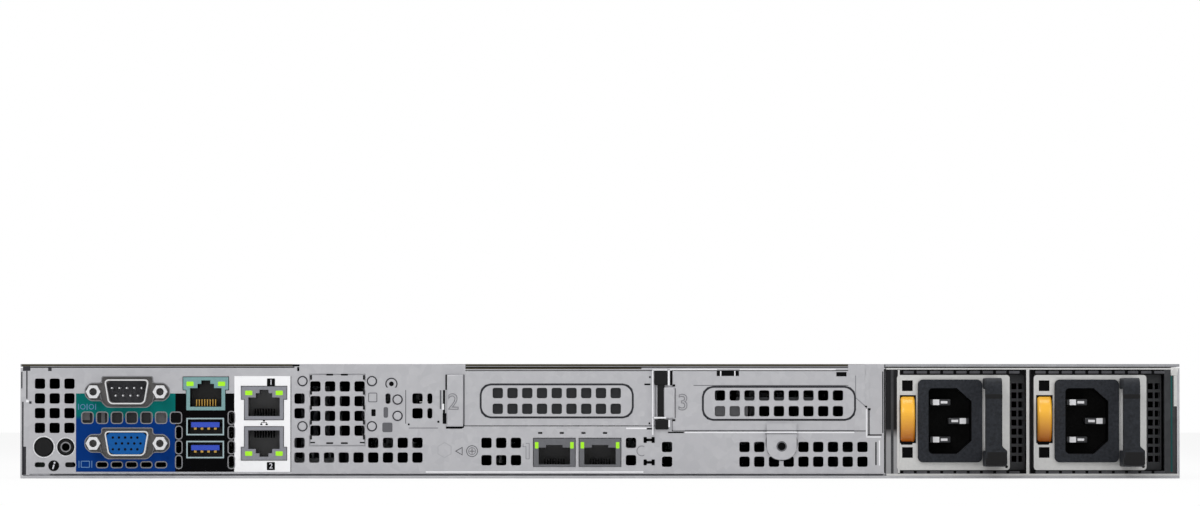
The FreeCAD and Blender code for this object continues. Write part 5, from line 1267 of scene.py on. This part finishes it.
@dataclass
class SupplyBay:
    """Bright sheet edges round the two supply bays, painted as highlights, and the jambs, tongues and slits
    beside them.
    """

    left: float = 107.0
    right: float = 216.9
    step: float = 111.5
    sunk: float = 0.4
    dash_pitch: float = 4.95
    dash: Span = (3.9, 1.0)

    def build(self) -> None:
        """Make the edges, the jamb, the tongues, the slits and the board's edge."""
        whole = (self.left + 0.2, self.right)
        # Painted highlights on the bays' sheet edges
        edges = Piece("bay_edges").panel(whole, (40.75, 41.35), 0.1, self.sunk)
        edges.panel(whole, (1.0, 1.75), 0.1, self.sunk)
        edges.panel((159.6, 160.7), (1.0, 41.3), 0.12, self.sunk)
        edges.panel((self.step, self.step + 0.8), (2.0, 40.6), 0.12, self.sunk, 0.25, "z")
        edges.panel((214.7, 216.1), (27.0, 41.2), 0.12, self.sunk, 0.3, "z")
        edges.panel((213.6, 216.4), (38.4, 41.3), 0.3, self.sunk, 0.4)
        edges.done(STEEL, "zinc_sheet")
        jamb = Piece("bay_jamb").panel((self.left + 0.1, self.step), (1.2, 40.8), -0.02, self.sunk)
        jamb.done(JAMB, "zinc_sheet")
        dashes = Piece("bay_dashes")
        wide, high = self.dash
        for start, stop in ((113.6, 157.0), (163.0, 208.0)):
            for index in range(int((stop - start) / self.dash_pitch) + 1):
                x = start + index * self.dash_pitch
                for z in (39.75, 2.25):
                    up = (z - high / 2, z + high / 2)
                    dashes.panel((x, x + wide), up, 0.02, self.sunk, 0.2, "y")
        dashes.done(DASH, "zinc_sheet")
        # Painted shade in the slits behind the tongues
        slits = Piece("bay_slits")
        for z in (39.75, 2.3):
            slits.panel((self.left + 5.4, 211.5), (z - 0.9, z + 0.9), -0.05, 0.3)
        slits.done(BLACK_INK_AND_SHADE, "black_plastic")
        board = Piece("bay_side_board").panel((213.7, 214.3), (2.5, 38.4), 0.05, self.sunk)
        board.done(TEAL, "board")


# Flat packages on the main board, as middle in X and Y, width, length and height
CHIPS = (
    (-178, -252, 22, 22, 2.0), (-92, -262, 10, 14, 1.4), (-186, -190, 8, 12, 1.2), (-70, -235, 12, 12, 1.4),
    (0, -240, 14, 14, 1.6), (-24, -196, 8, 8, 1.2), (66, -150, 18, 10, 1.4), (70, -232, 10, 14, 1.4),
    (-160, -150, 16, 10, 1.4), (-60, -150, 10, 10, 1.2), (10, -150, 9, 15, 1.2))
# Cable headers and long sockets, as middle in X and Y, width and length
HEADERS = (
    (96.0, -180.0, 9.0, 46.0), (96.0, -110.0, 9.0, 30.0), (-204.0, -230.0, 6.0, 40.0),
    (-30.0, -110.0, 40.0, 6.0), (60.0, -100.0, 30.0, 6.0))


@dataclass
class BoardParts:
    """Components on the main board, which show when the lid is off."""

    top: float = 4.4
    sink_x: float = -120.0
    sink_y: float = -205.0
    sink: float = 38.0
    fins: int = 12
    header_wall: float = 1.2

    def stand(self, piece: Piece, at: Span, size: Span, rise: Span, bevel: float) -> None:
        """Stand a block on the board.

        Args:
            piece: The piece it joins.
            at: Its middle in X and Y.
            size: Its width and length.
            rise: Its lower and upper ends above the board.
            bevel: Width of its softened edges.
        """
        half_w, half_l = size[0] / 2, size[1] / 2
        low = (at[0] - half_w, at[1] - half_l, self.top + rise[0])
        piece.block(low, (at[0] + half_w, at[1] + half_l, self.top + rise[1]), bevel)

    def chips(self) -> None:
        """Flat packages and the coil bodies beside the processors."""
        piece = Piece("board_chips")
        for x, y, wide, long, high in CHIPS:
            self.stand(piece, (x, y), (wide, long), (0.0, high), 0.3)
        for index in range(18):
            self.stand(piece, (-186.0 + index * 15.5, -93.5), (9.0, 9.0), (0.0, 5.5), 0.6)
        piece.done(BLACK, "black_plastic")

    def cooler(self) -> None:
        """Finned cooler of the bridge chip."""
        piece = Piece("bridge_cooler")
        self.stand(piece, (self.sink_x, self.sink_y), (self.sink, self.sink), (0.0, 3.0), 0.4)
        for index in range(self.fins):
            x = self.sink_x - self.sink / 2 + 0.6 + index * (self.sink - 1.2) / (self.fins - 1)
            self.stand(piece, (x, self.sink_y), (1.2, self.sink), (2.5, 11.0), 0.2)
        piece.done(FINS, "fin_aluminium")

    def cans(self) -> None:
        """Capacitor cans and the coin cell."""
        piece = Piece("capacitor_cans")
        for index in range(14):
            piece.post((-196.0 + index * 20.0, -80.0, self.top), 3.9, 8.5)
        for index in range(6):
            piece.post((-60.0 + index % 3 * 10.0, -120.0 + index // 3 * 10.0, self.top), 3.1, 6.0)
        piece.post((-190.0, -150.0, self.top), 10.0, 4.2, 40)
        piece.done(NICKEL, "port_steel")

    def headers(self) -> None:
        """Cable headers and the long sockets beside the risers."""
        piece = Piece("board_headers")
        inner = 2 * self.header_wall
        for x, y, wide, long in HEADERS:
            self.stand(piece, (x, y), (wide, long), (0.0, 7.0), 0.4)
            self.stand(piece, (x, y), (wide - inner, long - inner), (6.9, 7.6), 0.2)
        piece.done(GREY, "grey_plastic")

    def build(self) -> None:
        """Fit the board."""
        self.chips()
        self.cooler()
        self.cans()
        self.headers()


@dataclass
class DriveFront:
    """Small fittings of the drive bays at the front."""

    pitch: float = 107.0
    face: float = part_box("drive_carrier_1")[1].y / MM
    half_width: float = 213.5

    def build(self) -> None:
        """Close the slit over the carriers with foam, and give each carrier two indicators."""
        rack = self.face - 12.0
        foam = Piece("bay_gasket")
        foam.block((-self.half_width, rack - 4.0, 30.55), (self.half_width, rack - 1.2, 31.65))
        foam.done(BLACK_INK_AND_SHADE, "black_plastic")
        for index in range(4):
            lamps = Piece(f"carrier_{index + 1}_lamps")
            for shift in (-49.5, -46.0):
                x = (index - 1.5) * self.pitch + shift
                lamps.block((x - 0.9, self.face - 0.1, 14.2), (x + 0.9, self.face + 0.05, 18.0), 0.3)
            lamps.done(LIME, "grey_plastic", f"drive_carrier_{index + 1}")


@dataclass
class Studio:
    """Pale floor, soft lamps and the camera behind the server."""

    lens: float = 220.0
    sensor: float = 36.0
    view_width: float = 449.4
    eye_height: float = 21.0
    rise: float = 63.4
    floor_half: float = 12000.0
    floor_drop: float = 0.2
    paper_white: float = 0.88
    room_light: float = 0.42
    wall_aim: Point = (0.0, -327.0, 20.0)

    def floor(self) -> None:
        """Lay the floor that takes the server's shadow."""
        mesh = bpy.data.meshes.new("floor")
        shape = bmesh.new()
        bmesh.ops.create_grid(shape, x_segments=1, y_segments=1, size=self.floor_half * MM)
        shape.to_mesh(mesh)
        shape.free()
        thing = show("floor", mesh)
        thing.location.z = -self.floor_drop * MM
        paper = bpy.data.materials.new("studio_paper")
        tree = empty_tree(paper)
        noise = add(tree, "TexNoise", {"Vector": place(tree), "Scale": 20.0})
        tone = mix(tree, noise.outputs["Fac"], linear("F4F4F4"), linear("FAFAFA"))
        matt = add(tree, "BsdfPrincipled", {"Base Color": tone, "Roughness": 0.9})
        white = add(tree, "Emission", {"Color": linear("FFFFFF"), "Strength": 1.0})
        seen = add(tree, "LightPath").outputs["Is Camera Ray"]
        share = maths(tree, "MULTIPLY", seen, self.paper_white)
        blend = add(tree, "MixShader", {"0": share, "1": matt.outputs[0], "2": white.outputs[0]})
        add(tree, "OutputMaterial", {"Surface": blend.outputs[0]})
        mesh.materials.append(paper)

    def world(self) -> None:
        """Light everything softly from a pale room that the camera sees as white."""
        room = bpy.data.worlds.new("white_room")
        bpy.context.scene.world = room
        tree = empty_tree(room)
        path = add(tree, "LightPath").outputs
        seen = maths(tree, "MAXIMUM", path["Is Camera Ray"], path["Is Glossy Ray"])
        power = add(tree, "MapRange", {"Value": seen, "To Min": self.room_light, "To Max": 1.0})
        back = add(tree, "Background", {"Color": linear("FFFFFF"), "Strength": power.outputs["Result"]})
        add(tree, "OutputWorld", {"Surface": back.outputs["Background"]})

    def lamp(self, name: str, at: Point, aim: Point, size: float, watts: float) -> None:
        """Hang one soft box.

        Args:
            name: Name of the lamp.
            at: Its place.
            aim: The point it faces.
            size: Width of the box.
            watts: Its power.
        """
        data = bpy.data.lights.new(name, "AREA")
        data.size = size * MM
        data.energy = watts
        thing = show(name, data)
        thing.location = Vector(at) * MM
        thing.rotation_euler = (Vector(aim) - Vector(at)).to_track_quat("-Z", "Y").to_euler()

    def camera(self) -> None:
        """Set the camera square to the rear wall, tipped up so the server sits low in the picture."""
        distance = self.lens * self.view_width / self.sensor
        data = bpy.data.cameras.new("rear_camera")
        data.lens = self.lens
        data.sensor_width = self.sensor
        data.clip_start = 0.05
        data.clip_end = 60.0
        thing = show("rear_camera", data)
        thing.location = Vector((0.0, REAR - distance, self.eye_height)) * MM
        thing.rotation_euler = (math.pi / 2 + math.atan2(self.rise, distance), 0.0, 0.0)
        bpy.context.scene.camera = thing

    def build(self) -> None:
        """Put up the floor, the light and the camera."""
        bpy.context.scene.view_settings.view_transform = "Standard"
        self.floor()
        self.world()
        self.lamp("key_box", (-900.0, -1800.0, 1500.0), self.wall_aim, 900.0, 14.0)
        self.lamp("fill_box", (1200.0, -1600.0, 900.0), self.wall_aim, 900.0, 6.0)
        self.lamp("top_box", (0.0, 0.0, 2200.0), (0.0, 0.0, 0.0), 1500.0, 20.0)
        self.camera()


def main() -> None:
    """Build every part of the picture in order."""
    dress_nodes()
    RearWall().build()
    Connectors().build()
    Clamps().build()
    for index, x in ((1, 135.0), (2, 186.2)):
        Supply(index, x).build()
    SupplyBay().build()
    BoardParts().build()
    DriveFront().build()
    Studio().build()


if __name__ == "__main__":
    logging.basicConfig(level=logging.INFO, format="%(name)s: %(message)s")
    main()
